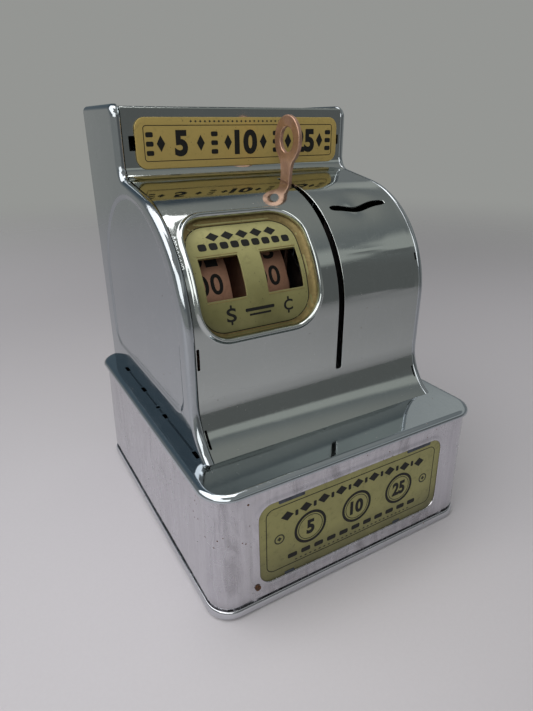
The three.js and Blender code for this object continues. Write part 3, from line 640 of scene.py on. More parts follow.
def printed_tin(name, light, dark, low, high, metal=0.3):
    """Lacquered tin plate, rubbed and speckled, with painted shade: dark at the height low and lit at high.
    """
    paint = Paint(name)
    # Painted shade: the colour ramps from the shaded tone dark at height low to the lit tone light at height
    # high, with some random variation.
    painted_light_ramp = paint.span(paint.axis(2), low * MM, high * MM, kind="LINEAR")
    painted_light_ramp = paint.plus(painted_light_ramp, paint.span(paint.noise(16, 3), 0.2, 0.8, -0.2, 0.2))
    colour = paint.mix(painted_light_ramp, dark, light)
    mottled = paint.noise(2.4, 4, 0.7)
    colour = paint.mix(paint.span(mottled, 0.5, 0.8, 0, 0.35), colour, scaled(dark, 0.62))
    rubbed = paint.span(paint.noise(7, 5, 0.75, twist=0.7), 0.64, 0.7, 0, 0.5)
    colour = paint.mix(rubbed, colour, scaled(dark, 0.5))
    specks = paint.span(paint.cells(2.2), 0.06, 0.1, 0.6, 0)
    colour = paint.mix(specks, colour, SPECK)
    rough = paint.span(mottled, 0.3, 0.7, 0.3, 0.46)
    paint.bumps((paint.noise(18, 2, 0.4), 0.12), (mottled, 0.008))
    return paint.finish(colour, rough, metal, Coat_Weight=0.25, Coat_Roughness=0.22)


def ink(name, tone=(0.012, 0.012, 0.011), thin=0.0):
    """Printed black, slightly broken; a thin ink lets more of the plate through."""
    paint = Paint(name)
    grain = paint.noise(0.5, 3, 0.7)
    colour = paint.mix(paint.span(grain, 0.55, 0.8, thin, 0.35 + thin), tone, RUBBED_INK)
    paint.bumps((grain, 0.006))
    return paint.finish(colour, paint.span(grain, 0.3, 0.7, 0.5, 0.68), 0.0, Specular_IOR_Level=0.25)


def worn_metal(name, tone, tarnish, rough, size, brushed=(1, 1, 1), share=0.5, metal=1.0, pits=0.0):
    """Metal with cloudy tarnish, brushing and dull patches, and rust pits where pits is more than 0."""
    paint = Paint(name)
    clouds = paint.noise(size, 4, 0.62, twist=0.5)
    brush = paint.noise(0.7, 3, 0.6, brushed)
    fine = paint.noise(1.1, 4, 0.7)
    colour = paint.mix(paint.span(clouds, 0.38, 0.72, 0, share), tone, tarnish)
    colour = paint.mix(paint.span(fine, 0.5, 0.85, 0, 0.4), colour, scaled(tarnish, 0.55))
    roughness = paint.span(clouds, 0.3, 0.75, rough, min(0.9, rough + 0.22))
    roughness = paint.plus(roughness, paint.span(brush, 0.3, 0.7, -0.05, 0.06))
    metallic = metal
    if pits:
        colour, roughness, metallic, _ = rust_over(paint, colour, roughness, metal, pits)
    paint.bumps((clouds, 0.03), (brush, 0.012), (fine, 0.006))
    return paint.finish(colour, roughness, metallic)


def rusty(name):
    paint = Paint(name)
    grain = paint.noise(0.6, 5, 0.75)
    colour = paint.mix(paint.span(grain, 0.35, 0.7), RUST_DARK, RUST_LIGHT)
    paint.bumps((grain, 0.12), (paint.noise(0.25, 3, 0.7), 0.03))
    return paint.finish(colour, paint.span(grain, 0.3, 0.7, 0.7, 0.95), 0.25)


BODY_NICKEL = mirror_nickel("body_nickel", (0.52, 0.555, 0.54), 0.055, 0.10, 0.8)
CHEEK_NICKEL = mirror_nickel("cheek_nickel", (0.45, 0.485, 0.51), 0.075, 0.07, 1.0)
LID_NICKEL = mirror_nickel("lid_nickel", (0.52, 0.565, 0.60), 0.05, 0.07, 0.9)
FOOT_NICKEL = mirror_nickel("foot_nickel", (0.62, 0.63, 0.66), 0.11, 0.05, 1.6)
WALL_NICKEL = satin_nickel("wall_nickel", (0.60, 0.592, 0.628), (
    ((PIN_END[0], -62.7, PIN_END[1]), 1.9), ((-56.4, -50, 44.4), 1.2), ((-44, -62, 44.8), 0.8)))
# Printed tins with painted shade: the first tone is the lit colour at the top, the second the shaded colour
# lower down; on the base label the dark lower part is a painted shadow of the recess rim.
SIGN_TIN = printed_tin("sign_tin", (0.60, 0.445, 0.135), (0.52, 0.38, 0.12), 136, 155)
BASE_TIN = printed_tin("base_tin", (0.30, 0.285, 0.10), (0.10, 0.095, 0.035), 7, 23)
WINDOW_TIN = printed_tin("window_tin", (0.50, 0.47, 0.20), (0.19, 0.18, 0.065), 90, 124)
BACK_TIN = printed_tin("back_tin", (0.42, 0.36, 0.14), (0.30, 0.25, 0.09), 66, 142, 0.35)
LIP_TIN = worn_metal("lip_tin", (0.34, 0.26, 0.105), (0.13, 0.09, 0.04), 0.38, 3, metal=0.6)
INK = ink("ink")
FINE_INK = ink("fine_ink", (0.03, 0.03, 0.022), 0.15)
LEVER_COPPER = worn_metal("lever_copper", (0.60, 0.375, 0.27), (0.34, 0.19, 0.135), 0.33, 5, (1, 6, 20), 0.55,
                          0.92, 0.9)
DRUM_COPPER = worn_metal("drum_copper", (0.60, 0.335, 0.225), (0.36, 0.19, 0.12), 0.42, 7, (1, 18, 18),
                         0.45, 0.75)
STEEL = worn_metal("mechanism_steel", (0.42, 0.42, 0.43), (0.16, 0.13, 0.11), 0.34, 8, (1, 12, 2),
                   0.6, 1.0, 1.8)
BLUED = worn_metal("blued_steel", (0.10, 0.115, 0.14), (0.05, 0.045, 0.05), 0.36, 4, (1, 6, 6), 0.5)
BRASS = worn_metal("bell_brass", (0.55, 0.40, 0.15), (0.26, 0.16, 0.06), 0.26, 6, (1, 1, 8), 0.5)
RUST = rusty("rusty_pin")

# ---- printing on plates ----


INK_LEVELS = (0.05, 0.01)
INK_STEP = 1.2


class Print:
    """Thin raised ink: flat shapes laid onto a surface."""

    def __init__(self, surface, relief=None):
        self.surface, self.relief = surface, relief
        self.verts, self.faces = [], []

    def stamp(self, points, triangles):
        first, count = len(self.verts), len(points)
        for level in INK_LEVELS:
            for u, v in points:
                point, normal = self.surface(u, v)
                self.verts.append(point + normal * (level + (self.relief(u, v) if self.relief else 0)))
        directed = {}
        for t in triangles:
            self.faces.append(tuple(first + i for i in t))
            self.faces.append(tuple(first + count + i for i in reversed(t)))
            for i, j in zip(t, t[1:] + t[:1]):
                directed[(i, j)] = True
        for i, j in directed:
            if (j, i) not in directed:
                self.faces.append((first + j, first + i, first + count + i, first + count + j))

    def shape(self, outer, *holes):
        loops = [densify(loop, INK_STEP) for loop in (outer, *holes)]
        points, triangles, _ = triangulate(loops[0], loops[1:], None)
        self.stamp(points, triangles)

    def line(self, left, right, low, high, corner, width):
        """A thin rounded frame."""
        inner = rounded(left + width, right - width, low + width, high - width, max(0.1, corner - width))
        self.shape(rounded(left, right, low, high, corner), inner)

    def bar(self, left, right, low, high):
        corner = min(right - left, high - low) * 0.3
        self.shape(rounded(left, right, low, high, corner, 3))

    def lozenge(self, u, v, half_u, half_v):
        self.shape([(u - half_u, v), (u, v - half_v), (u + half_u, v), (u, v + half_v)])

    def ring(self, u, v, outer, inner):
        self.shape(arc(u, v, outer, 0, 351, 39), arc(u, v, inner, 0, 351, 39))

    def figures(self, text, u, v, height, width, bold=0.03):
        points, triangles = figure_shapes(text, bold)
        self.stamp([(u + a * width, v + b * height) for a, b in points], triangles)

    def build(self, name, look, slot, body="housing"):
        mesh = bpy.data.meshes.new(name)
        mesh.from_pydata([p * MM for p in self.verts], [], self.faces)
        mesh.validate()
        return finish_piece(mesh, name, look, body)


BANDS = 8
BOLD = 0.045


@functools.cache
def figure_shapes(text, bold):
    """Characters as triangles in a box of unit width and height about the origin, cut into bands so that
    they can bend."""
    curve = bpy.data.curves.new("figures", "FONT")
    curve.body, curve.offset, curve.resolution_u = text, bold, 5
    holder = bpy.data.objects.new("figures", curve)
    bpy.context.scene.collection.objects.link(holder)
    view = bpy.context.evaluated_depsgraph_get()
    mesh = bpy.data.meshes.new_from_object(holder.evaluated_get(view))
    bpy.data.objects.remove(holder)
    bm = bmesh.new()
    bm.from_mesh(mesh)
    bmesh.ops.remove_doubles(bm, verts=bm.verts, dist=1e-4)
    places = np.array([v.co[:2] for v in bm.verts])
    low, high = places.min(0), places.max(0)
    for k in range(1, BANDS):
        level = low[1] + (high[1] - low[1]) * k / BANDS
        everything = bm.verts[:] + bm.edges[:] + bm.faces[:]
        bmesh.ops.bisect_plane(bm, geom=everything, plane_co=(0, level, 0), plane_no=(0, 1, 0))
    bmesh.ops.triangulate(bm, faces=bm.faces)
    bm.verts.index_update()
    middle, size = (low + high) / 2, high - low
    points = [((v.co.x - middle[0]) / size[0], (v.co.y - middle[1]) / size[1]) for v in bm.verts]
    triangles = [tuple(v.index for v in f.verts) for f in bm.faces]
    bm.free()
    bpy.data.meshes.remove(mesh)
    return points, triangles


# ---- coin box ----


def box_distance(u, v, centre, half, corner):
    """Signed distance to a rounded rectangle, positive outside."""
    a = abs(u - centre[0]) - half[0] + corner
    b = abs(v - centre[1]) - half[1] + corner
    return math.hypot(max(a, 0), max(b, 0)) + min(max(a, b), 0) - corner


def smooth(value, low, high):
    t = min(1, max(0, (value - low) / (high - low)))
    return t * t * (3 - 2 * t)


def waves(u, v, size, height, seed):
    return height * noise.noise(Vector((u / size, v / size, seed)))


def wall_outline():
    """The wall's foot from the middle of the back, round by the left side."""
    (x, y), corner = WALL["half"], WALL["corner"]
    a, b = x - corner, y - corner
    return Path(Line((0, y), (-a, y)), Arc((-a, b), corner, 90, 180), Line((-x, b), (-x, -b)),
                Arc((-a, -b), corner, 180, 270), Line((-a, -y), (a, -y)), Arc((a, -b), corner, 270, 360),
                Line((x, -b), (x, b)), Arc((a, b), corner, 0, 90), Line((a, y), (0, y)))


OUTLINE = wall_outline()
FRONT_MIDDLE = OUTLINE.length / 2
LEAN = WALL["lean"] / (LID["top"] - SHEET)
label_centre, label_half = middle_and_half(BASE_LABEL)
border_centre = (label_centre[0] + 1, label_centre[1])
border_half = (label_half[0] + 4.4, 20)


def wall_surface(u, v):
    """The drawn wall of the coin box, by length along its outline and by height."""
    x, y, nx, ny = OUTLINE.at(u)
    return Vector((x - nx * LEAN * v, y - ny * LEAN * v, v)), Vector((nx, ny, LEAN)).normalized()


def wall_relief(u, v):
    """Ripple, the step above the foot, a sunk border round the label and a raised seat for it."""
    x = u - FRONT_MIDDLE
    height = waves(u, v, 30, 0.12, 3.1) - 0.5 * (1 - smooth(v, 3.4, 5.2))
    if abs(x) < 54:
        height -= 0.32 * (1 - smooth(box_distance(x, v, border_centre, border_half, 4), -1.2, 1.2))
        close = box_distance(x, v, label_centre, label_half, BASE_LABEL["corner"])
        height += 0.35 * (1 - smooth(close, 0.6, 2.6))
    return height


border = box((FRONT_MIDDLE + border_centre[0], border_centre[1]), border_half, 4, spacing=1.0)
opening = box((FRONT_MIDDLE + label_centre[0], label_centre[1]), label_half, BASE_LABEL["corner"], 10, 1.5)
wall_edge = densify([(0, 2.6), (OUTLINE.length, 2.6), (OUTLINE.length, 50.1), (0, 50.1)], 2)
relief_rows = [p for grow in (-1.2, -0.4, 0.4, 1.2) for p in grown(border, grow)]
relief_rows += [p for grow in (1.2, 2.0, 2.8) for p in grown(opening, grow)]
Sheet(wall_surface, (wall_edge, []), [(grown(opening, 0.45), edge_rim(0.45))], (2.2, 1.7),
      relief=wall_relief, extra=relief_rows).build(
          "coin_box_wall", WALL_NICKEL, "worn_nickel", replaces=["base_wall"])


def rolled_outline(part):
    """Outline of a part with a rolled edge, set in by the roll."""
    roll = part["roll"]
    return box((0, 0), (part["half"][0] - roll, part["half"][1] - roll), part["corner"] - roll, 10)


lid_rim = [(LID["roll"] * math.sin(math.radians(a)), 1.7 * (1 - math.cos(math.radians(a))))
           for a in range(12, 91, 13)]
lid_rim += [(2.4, 1.88), (1.6, 1.9), (1.45, 1.3), (1.0, 0.9)]
TABS = [(-39.5, -35), (-9.8, -6.2), (-0.8, 0.8), (15.2, 19.4), (38, 42.6)]
GAPS = [(tab[1] + 0.8, following[0] - 0.8) for tab, following in zip(TABS, TABS[1:])]
lid_slots = []
for away, half, corner, spans in ((50.75, 0.45, 0.25, TABS), (50.66, 0.1, 0.08, GAPS)):
    lid_slots += [(rounded(side * away - half, side * away + half, low, high, corner, 2), [])
                  for side in (-1, 1) for low, high in spans]
lid_slots.append((box((COIN["x"], COIN["y"]), (13.8, 1.9), 0.5, 2), []))
Sheet(plane(Vector((0, 0, LID["top"])), ALONG_X, Vector((0, 1, 0))), (rolled_outline(LID), lid_rim),
      lid_slots).build("coin_box_lid", LID_NICKEL, "nickel", replaces=["base_lid"])

foot_rim = [(0.65, 0.12), (1.04, 0.62), (1.2, 1.3), (1.2, 2.1), (1.04, 2.85), (0.72, 3.35), (0.5, 3.55),
            (0.2, 3.5), (0.15, 2), (0.15, 0.95), (0.08, 0.82)]
Sheet(plane(Vector((0, 0, 0)), ALONG_X, Vector((0, -1, 0))), (rolled_outline(FOOT), foot_rim),
      [(rounded(*DOORWAY, 1, 3), [])]).build("coin_box_floor", FOOT_NICKEL, "nickel", replaces=["base_floor"])

up_wall = Vector((0, WALL["lean"], LID["top"] - SHEET)).normalized()
label_plane = plane(Vector((0, 0.62 - WALL["half"][1], 0)), ALONG_X, up_wall)
label_edge = box(label_centre, (label_half[0] + 1.2, label_half[1] + 1.2), BASE_LABEL["corner"] + 1, 8, 4)


def label_relief(u, v):
    return waves(u, v, 22, 0.16, 8.2)


Sheet(label_plane, (label_edge, edge_rim(0.1, 0.4)), (), (4, 4), 0.4, label_relief).build(
    "base_label_plate", BASE_TIN, "printed_tin", replaces=["base_label"])

base_print = Print(label_plane, label_relief)
base_print.line(BASE_LABEL["left"] + 2.6, BASE_LABEL["right"] - 2.6, BASE_LABEL["low"] + 3.2,
                BASE_LABEL["high"] - 2.6, 3, 0.28)
VALUE_ROW = 25.6
for u, value, width in ((-20, "5", 3.3), (0.2, "10", 5.94), (20.4, "25", 6.16)):
    base_print.ring(u, VALUE_ROW, 6.6, 5.55)
    base_print.ring(u, VALUE_ROW, 5.05, 4.8)
    base_print.figures(value, u, VALUE_ROW, 6.0, width, BOLD)
PITCH = 7.4
for k in range(-4, 5):
    bend = 1.7 - 0.105 * k * k
    base_print.lozenge(0.2 + k * PITCH, 34.0 + bend, 2.5, 1.9)
    if k < 4:
        base_print.bar(3.3 + k * PITCH, 4.5 + k * PITCH, 32.8 + bend, 35.0 + bend)
for k in range(-5, 6):
    base_print.bar(k * 5.5 - 1.7, k * 5.5 + 2.1, 15.5, 17.4)
base_print.build("base_label_print", INK, "printed_tin")
fine_print = Print(label_plane, label_relief)
for k in range(-13, 14):
    fine_print.lozenge(0.2 + k * 2.0, 13.9, 0.6, 0.35)
for u in (-32.5, 32.8):
    fine_print.ring(u, VALUE_ROW, 2.0, 1.5)
    fine_print.lozenge(u, VALUE_ROW, 0.9, 0.9)
fine_print.build("base_label_fine_print", FINE_INK, "printed_tin")

tab_plane = plane(Vector((0, 0.42 - WALL["half"][1], 0)), ALONG_X, up_wall)
LABEL_TABS = [(-32.6, -22.6, 40.1, 41.7), (23.2, 34.8, 40.2, 41.8), (-30.4, -26.6, 9.5, 10.3),
              (19, 22.4, 9.6, 10.4)]
for number, edges in enumerate(LABEL_TABS):
    Sheet(tab_plane, (rounded(*edges, 0.3, 2, 2), edge_rim(0.08, 0.3)), (), (2, 2), 0.3, label_relief).build(
        f"label_tab_{number + 1}", BLUED, "blued_steel")

# ---- body: cheeks ----


def sampled(parts, counts):
    """Points along each part, as many as its count, and the last part's end."""
    points = []
    for part, count in zip(parts, counts):
        points += [part.at(part.length * k / count)[:2] for k in range(count)]
    return points + [parts[-1].at(parts[-1].length)[:2]]


TOP_CORNERS = (4.6, 2.6)


def side_line(inset):
    """From the foot of the back, over the top and down the front, set in from the edge."""
    top, back = BODY["top"] - inset, BODY["back"] - inset
    front_corner, back_corner = (corner - inset for corner in TOP_CORNERS)
    front = SIGN["y"] + inset
    line = [(back, LID["top"]), (back, 90), (back, 125)]
    line += arc(back - back_corner, top - back_corner, back_corner, 0, 90, 5)
    line += arc(front + front_corner, top - front_corner, front_corner, 90, 180, 7)[:-1]
    return line + sampled(front_parts(inset, top - front_corner), (4, 7, 3, 34, 6, 14))


def cheek(name, node, side):
    """A side plate with its edge rolled inwards and a pressed panel in its face."""
    half, roll, flange = BODY["half"], BODY["roll"], BODY["flange"]
    turns = [math.radians(18 * k) for k in range(6)]
    section = [(half - flange, 0)]
    section += [(half - roll + roll * math.sin(t), roll * (1 - math.cos(t))) for t in turns]
    under = roll - SHEET
    back_section = [(half - roll + under * math.sin(t), roll - under * math.cos(t)) for t in reversed(turns)]
    back_section.append((half - flange, SHEET))
    rings = [[(side * x, y, z) for y, z in side_line(inset)] for x, inset in section]
    back_rings = [[(side * x, y, z) for y, z in side_line(inset)] for x, inset in back_section]
    count = len(rings[0])
    verts, faces = [], []

    for group in (rings, back_rings, [back_rings[-1], rings[0]]):
        for first, second in zip(group[:-1], group[1:]):
            start = len(verts)
            verts += first + second
            faces += [(start + i, start + i + 1, start + count + i + 1, start + count + i)
                      for i in range(count - 1)]

    centre, radius, foot, corner = (12, 88.4), 41.3, 60, 8
    panel = (arc(centre[0] + radius - corner, foot + corner, corner, -90, 0, 6)
             + arc(*centre, radius, 0, 180, 48)
             + arc(centre[0] - radius + corner, foot + corner, corner, 180, 270, 6))
    steps = [(0.0, 0.0), (0.4, 0.06), (0.8, 0.2), (1.2, 0.36), (1.6, 0.5), (2.0, 0.56)]
    panel_rings = [(grown(panel, -away), depth) for away, depth in steps]
    flat_edge = side_line(roll)
    for x in (half, half - SHEET):
        for (a, da), (b, db) in zip(panel_rings[:-1], panel_rings[1:]):
            start, n = len(verts), len(a)
            verts.extend((side * (x - da), y, z) for y, z in a)
            verts.extend((side * (x - db), y, z) for y, z in b)
            faces += [(start + i, start + (i + 1) % n, start + n + (i + 1) % n, start + n + i)
                      for i in range(n)]
        for outer, holes, depth in ((flat_edge, [panel_rings[0][0]], 0),
                                    (panel_rings[-1][0], [], steps[-1][1])):
            points, triangles, _ = triangulate(outer, holes, None)
            start = len(verts)
            verts.extend((side * (x - depth), y, z) for y, z in points)
            faces.extend(tuple(start + i for i in t) for t in triangles)
    soften(finish_piece(mesh_from(name, verts, faces), name, CHEEK_NICKEL, "housing", [node]))


cheek("left_cheek", "left_side_plate", -1)
cheek("right_cheek", "right_side_plate", 1)

# ---- body: front sheet with its openings ----


def s_where(which, value, low, high):
    """Length down the front at which y (0) or z (1) falls to a value."""
    for _ in range(40):
        middle = (low + high) / 2
        if FRONT.at(middle)[which] > value:
            low = middle
        else:
            high = middle
    return low


def down_at(z):
    """Length down the front at which it reaches a height below the top of the arch."""
    return s_where(1, z, ARCH_START, FRONT.length)


SLOT_START = s_where(0, SLOT["back"], FRONT.parts[0].length + 4, ARCH_START)
SLOT_END = down_at(SLOT["low"])
COIN_S = arch_s(math.degrees(math.acos((ARCH["y"] - COIN["y"]) / ARCH["radius"])))
WINDOW_MIDDLE = (WINDOW["low"] + WINDOW["high"]) / 2
WINDOW_HALF = ARCH["radius"] * math.sin(math.radians((WINDOW["high"] - WINDOW["low"]) / 2))


def window_loop(grow):
    """The window's outline on the front sheet; it is a rounded rectangle seen square to the arch."""
    flat = box((0, 0), (WINDOW["half"] + grow, WINDOW_HALF + grow), WINDOW["corner"] + grow, 12, 1.5)
    return [(WINDOW["x"] + a, arch_s(WINDOW_MIDDLE + math.degrees(math.asin(t / ARCH["radius"]))))
            for a, t in flat]


COIN_STEPS = 28


def coin_loop():
    """The coin slot's outline: an even gap that dips left of its middle and rises to the right."""
    upper, lower = [], []
    for k in range(COIN_STEPS + 1):
        a = COIN["half"] * math.sin(math.radians(90 * (2 * k / COIN_STEPS - 1))) * 0.985
        sag = 0.9 * math.exp(-((a + 3) / 5.5) ** 2) - 0.7 * smooth(a, 0, 9)
        thick = COIN["gap"] * math.sqrt(max(0.03, 1 - (abs(a) / COIN["half"]) ** 10))
        upper.append((COIN["x"] + a, COIN_S + sag - thick))
        lower.append((COIN["x"] + a, COIN_S + sag + thick))
    return upper + lower[::-1]


def crease(u, v, start, end, height, width):
    """A shallow fold between two places (u, angle above the shaft), fading at its ends."""
    start, end = ((place, arch_s(angle)) for place, angle in (start, end))
    (u0, v0), (u1, v1) = start, end
    length = math.dist(start, end)
    along = ((u - u0) * (u1 - u0) + (v - v0) * (v1 - v0)) / length
    off = ((v - v0) * (u1 - u0) - (u - u0) * (v1 - v0)) / length
    fade = smooth(along, -3, 3) * (1 - smooth(along, length - 3, length + 3))
    return height * math.exp(-(off / width) ** 2) * fade


THUMB_DENT = {"depth": 1.3, "radius": 6.0, "squash": 1.15}
CREASES = [((13, 30), (47, 27), 0.10, 1.1), ((12, 9), (47, 6), 0.07, 1.2), ((14, 37), (32, 35), -0.08, 2.4)]


def front_relief(u, v):
    """A thumb dent at the coin slot, faint creases right of the lever, and ripple; none at the sides."""
    away = math.hypot(u - COIN["x"], (v - COIN_S) * THUMB_DENT["squash"])
    height = -THUMB_DENT["depth"] * math.exp(-(away / THUMB_DENT["radius"]) ** 2)
    if u > SLOT["x"]:
        height += sum(crease(u, v, *fold) for fold in CREASES)
    height += waves(u, v, 27, 0.10, 1.7) + waves(u, v, 11, 0.018, 5.3)
    edge = smooth(abs(u), PANEL_HALF - 2.5, PANEL_HALF)
    return height * (1 - edge)


def slot_rect(left, right, start, end, corner=0.3):
    return rounded(left, right, start, end, corner, 2, 1.5)


def full_width(path, spacing):
    """Outline of a sheet between the cheeks, over the whole length of a path."""
    return densify([(-PANEL_HALF, 0), (PANEL_HALF, 0), (PANEL_HALF, path.length), (-PANEL_HALF, path.length)],
                   spacing)


BEAD = [(0.25, -0.05), (0.5, -0.2), (0.75, -0.46), (1.0, -0.7), (1.3, -0.87), (1.6, -0.86), (1.85, -0.68),
        (2.05, -0.35), (2.17, 0.05), (2.2, 0.5), (2.2, 1.1), (1.6, 1.1), (1.5, 0.5), (1.2, 0.05), (0.8, 0.1),
        (0.4, 0.5), (0.1, 0.78)]
sign_centre, sign_half = middle_and_half(SIGN_PLATE)
sign_s = SIGN["top"] - sign_centre[1]
SEAMS = [(-45.3, -43.0, sign_s - 2.6, sign_s + 2.4), (44.8, 46.5, sign_s - 1.9, sign_s + 1.9),
         (-47.0, -46.0, down_at(87.4), down_at(80)), (-47.0, -46.1, down_at(59.2), down_at(53.9)),
         (46.2, 46.9, arch_s(24), arch_s(20)), (46.2, 46.9, down_at(60.5), down_at(56.5))]
lever_way = slot_rect(SLOT["x"] - SLOT["half"], SLOT["x"] + SLOT["half"], SLOT_START, SLOT_END, 0.6)
front_holes = [(window_loop(2.2), BEAD), (grown(lever_way, 0.2), edge_rim(0.2)),
               (grown(coin_loop(), 0.25), edge_rim(0.25))]
front_holes += [(slot_rect(*edges), []) for edges in SEAMS]
Sheet(FRONT.surface, (full_width(FRONT, 1.3), []), front_holes, (1.4, 1.3), relief=front_relief).build(
    "front_sheet", BODY_NICKEL, "nickel", replaces=["front_panel"])

# ---- body: top and back sheet ----

top = SIGN["top"] + SHEET
corner = 2.5
BACK = Path(Arc((SIGN["y"] + SHEET, SIGN["top"]), SHEET, 180, 90),
            Line((SIGN["y"] + SHEET, top), (BODY["back"] - corner, top)),
            Arc((BODY["back"] - corner, top - corner), corner, 90, 0),
            Line((BODY["back"], top - corner), (BODY["back"], LID["top"])), side=-1)


def back_relief(u, v):
    edge = smooth(abs(u), PANEL_HALF - 3, PANEL_HALF)
    return waves(u, v, 30, 0.12, 6.4) * (1 - edge)


turn_start = BACK.parts[0].length + BACK.parts[1].length
bend_rows = [turn_start + BACK.parts[2].length * k / 6 for k in range(7)]
bend_rows += [BACK.parts[0].length * k / 4 for k in range(1, 5)]
bend_points = [(u, s) for s in bend_rows for u in np.linspace(1 - PANEL_HALF, PANEL_HALF - 1, 24)]
Sheet(BACK.surface, (full_width(BACK, 2), []), (), (4, 4), relief=back_relief, extra=bend_points).build(
    "back_sheet", BODY_NICKEL, "nickel", replaces=["back_panel"])

# ---- printed plates on the body ----

sign_plane = plane(Vector((0, SIGN_PLATE["front"], 0)), ALONG_X, UP)


def sign_relief(u, v):
    edge = box_distance(u, v, sign_centre, sign_half, SIGN_PLATE["corner"])
    return waves(u, v, 20, 0.12, 9.4) - 0.18 * smooth(edge, -1.4, 0)


sign_edge = box(sign_centre, sign_half, SIGN_PLATE["corner"], 8, 3)
Sheet(sign_plane, (grown(sign_edge, -0.15), edge_rim(0.15, 0.45)), (), (1.5, 1.5), 0.45, sign_relief).build(
    "sign_tin_plate", SIGN_TIN, "printed_tin", replaces=["sign_plate"])
sign_print = Print(sign_plane, sign_relief)
sign_print.line(-40.2, 42.3, 139.5, 151.7, 1.2, 0.25)
SIGN_ROW = 145.5
for u, value, width in ((-26.0, "5", 5.2), (1.0, "10", 10.0), (28.2, "25", 10.4)):
    sign_print.figures(value, u, SIGN_ROW, 9.0, width, BOLD)
    for way in (-1, 1):
        sign_print.lozenge(u + way * 7.8, SIGN_ROW, 1.6, 2.8)
for u in (-38.0, -12.5, 14.6, 40.2):
    for level in (141.5, 144.6, 147.7):
        sign_print.bar(u - 1.4, u + 1.4, level, level + 1.7)
sign_print.build("sign_print", INK, "printed_tin")
sign_fine = Print(sign_plane, sign_relief)
for k in range(-12, 13):
    sign_fine.lozenge(1.0 + k * 1.9, 152.9, 0.5, 0.42)
sign_fine.build("sign_fine_print", FINE_INK, "printed_tin")


def on_plate(angle):
    """Height on the window plate, measured along its curve, of an angle above the shaft."""
    return math.radians(angle) * PLATE["radius"]


def aperture_middle(side):
    return WINDOW["x"] + side * APERTURE["pitch"] / 2


plate_surface = drumlike(PLATE["radius"])
frame_centre = (-22.6, on_plate(27.4))
frame_half = (20.6, on_plate(27.3))


def plate_relief(u, v):
    """The plate rises outside its printed frame."""
    outside = box_distance(u, v, frame_centre, frame_half, 9)
    return 1.5 * smooth(outside, 0.2, 4.0) + waves(u, v, 12, 0.1, 2.2)


plate_edge = rounded(WINDOW["x"] - PLATE["half"], WINDOW["x"] + PLATE["half"], on_plate(PLATE["low"]),
                     on_plate(PLATE["high"]), 6, 6, 1.5)
apertures = []
for side in (-1, 1):
    left = aperture_middle(side) - APERTURE["width"] / 2
    hole = rounded(left, left + APERTURE["width"], on_plate(APERTURE["low"]), on_plate(APERTURE["high"]),
                   0.5, 3, 1.5)
    apertures.append((hole, edge_rim(0.12, 0.5)))
Sheet(plate_surface, (plate_edge, []), apertures, (1.4, 1.4), 0.5, plate_relief).build(
    "window_tin_plate", WINDOW_TIN, "printed_tin", replaces=["window_plate"])
margin_inner = box(frame_centre, frame_half, 9, 10, 1.5)
Sheet(plate_surface, (grown(plate_edge, -0.3), []), [(margin_inner, [])], (1.6, 1.6), 0.05, plate_relief,
      lift=0.06).build("window_margin", LIP_TIN, "printed_tin")
window_print = Print(plate_surface, plate_relief)
window_print.shape(grown(margin_inner, 0.12), grown(margin_inner, -0.3))
for k in range(-2, 3):
    window_print.lozenge(-21.9 + k * 5.4, on_plate(48.0), 2.4, 1.75)
for k in range(-4, 5):
    window_print.bar(-21.9 + k * 3.9 - 1.45, -21.9 + k * 3.9 + 1.45, on_plate(40.8), on_plate(44.6))
sign_row = on_plate(8.6)
for letter, u, height in (("S", -32.6, 4.6), ("C", -10.8, 3.8)):
    window_print.figures(letter, u, sign_row, height, 3.6, 0.02)
    near, far = height / 2 - 0.1, height / 2 + 1.0
    for low, high in ((sign_row - far, sign_row - near), (sign_row + near, sign_row + far)):
        window_print.bar(u - 0.35, u + 0.35, low, high)
window_print.bar(-27.4, -16.4, on_plate(8.8), on_plate(10.4))
window_print.bar(-26.0, -17.8, on_plate(6.6), on_plate(7.6))
window_print.build("window_print", INK, "printed_tin")

LIP_STEPS = 6
LIP = {"turn": 0.55, "thick": 0.35, "front": 0.1, "deep": 1.9}
for opening_name, side in (("dollars", -1), ("cents", 1)):
    for where, way in (("low", -1), ("high", 1)):
        rings = []
        for k in range(LIP_STEPS + 1):
            t = k / LIP_STEPS
            fold = math.radians(APERTURE[where] + way * LIP["turn"] * (1 - t) ** 2)
            behind = fold + math.radians(way * LIP["thick"])
            r = PLATE["radius"] + LIP["front"] - LIP["deep"] * t
            rings.append([(aperture_middle(side) + end * APERTURE["width"] / 2, ARCH["y"] - r * math.cos(a),
                           ARCH["z"] + r * math.sin(a))
                          for end, a in ((-1, fold), (1, fold), (1, behind), (-1, behind))])
        name = f"{opening_name}_opening_{where}_lip"
        mesh = mesh_from(name, *loft(rings, caps=True))
        soften(finish_piece(mesh, name, LIP_TIN, "housing"), 0.08)

back_plane = plane(Vector((0, BODY["back"] + 0.35, 0)), -ALONG_X, UP)
back_label_edge = rounded(-BACK_LABEL["half"], BACK_LABEL["half"], BACK_LABEL["low"], BACK_LABEL["high"],
                          BACK_LABEL["corner"], 8, 4)
Sheet(back_plane, (grown(back_label_edge, -0.1), edge_rim(0.1, 0.3)), (), (4, 4), 0.3).build(
    "back_label_plate", BACK_TIN, "printed_tin", replaces=["back_label"])
back_print = Print(back_plane)
back_print.line(-33, 33, 69, 139, 4, 0.35)
back_print.line(-31.8, 31.8, 70.2, 137.8, 3.2, 0.18)
for row, value, size in ((124, "5", 4.6), (104, "10", 8.6), (84, "25", 9.0)):
    back_print.ring(-18, row, 7.4, 6.6)
    back_print.figures(value, -18, row, 7.4, size)
    for k in range(3):
        back_print.bar(-5, 26 - 4 * k, row + 3.2 - k * 3.6, row + 4.2 - k * 3.6)
back_print.build("back_label_print", INK, "printed_tin")

# ---- drums and lever ----

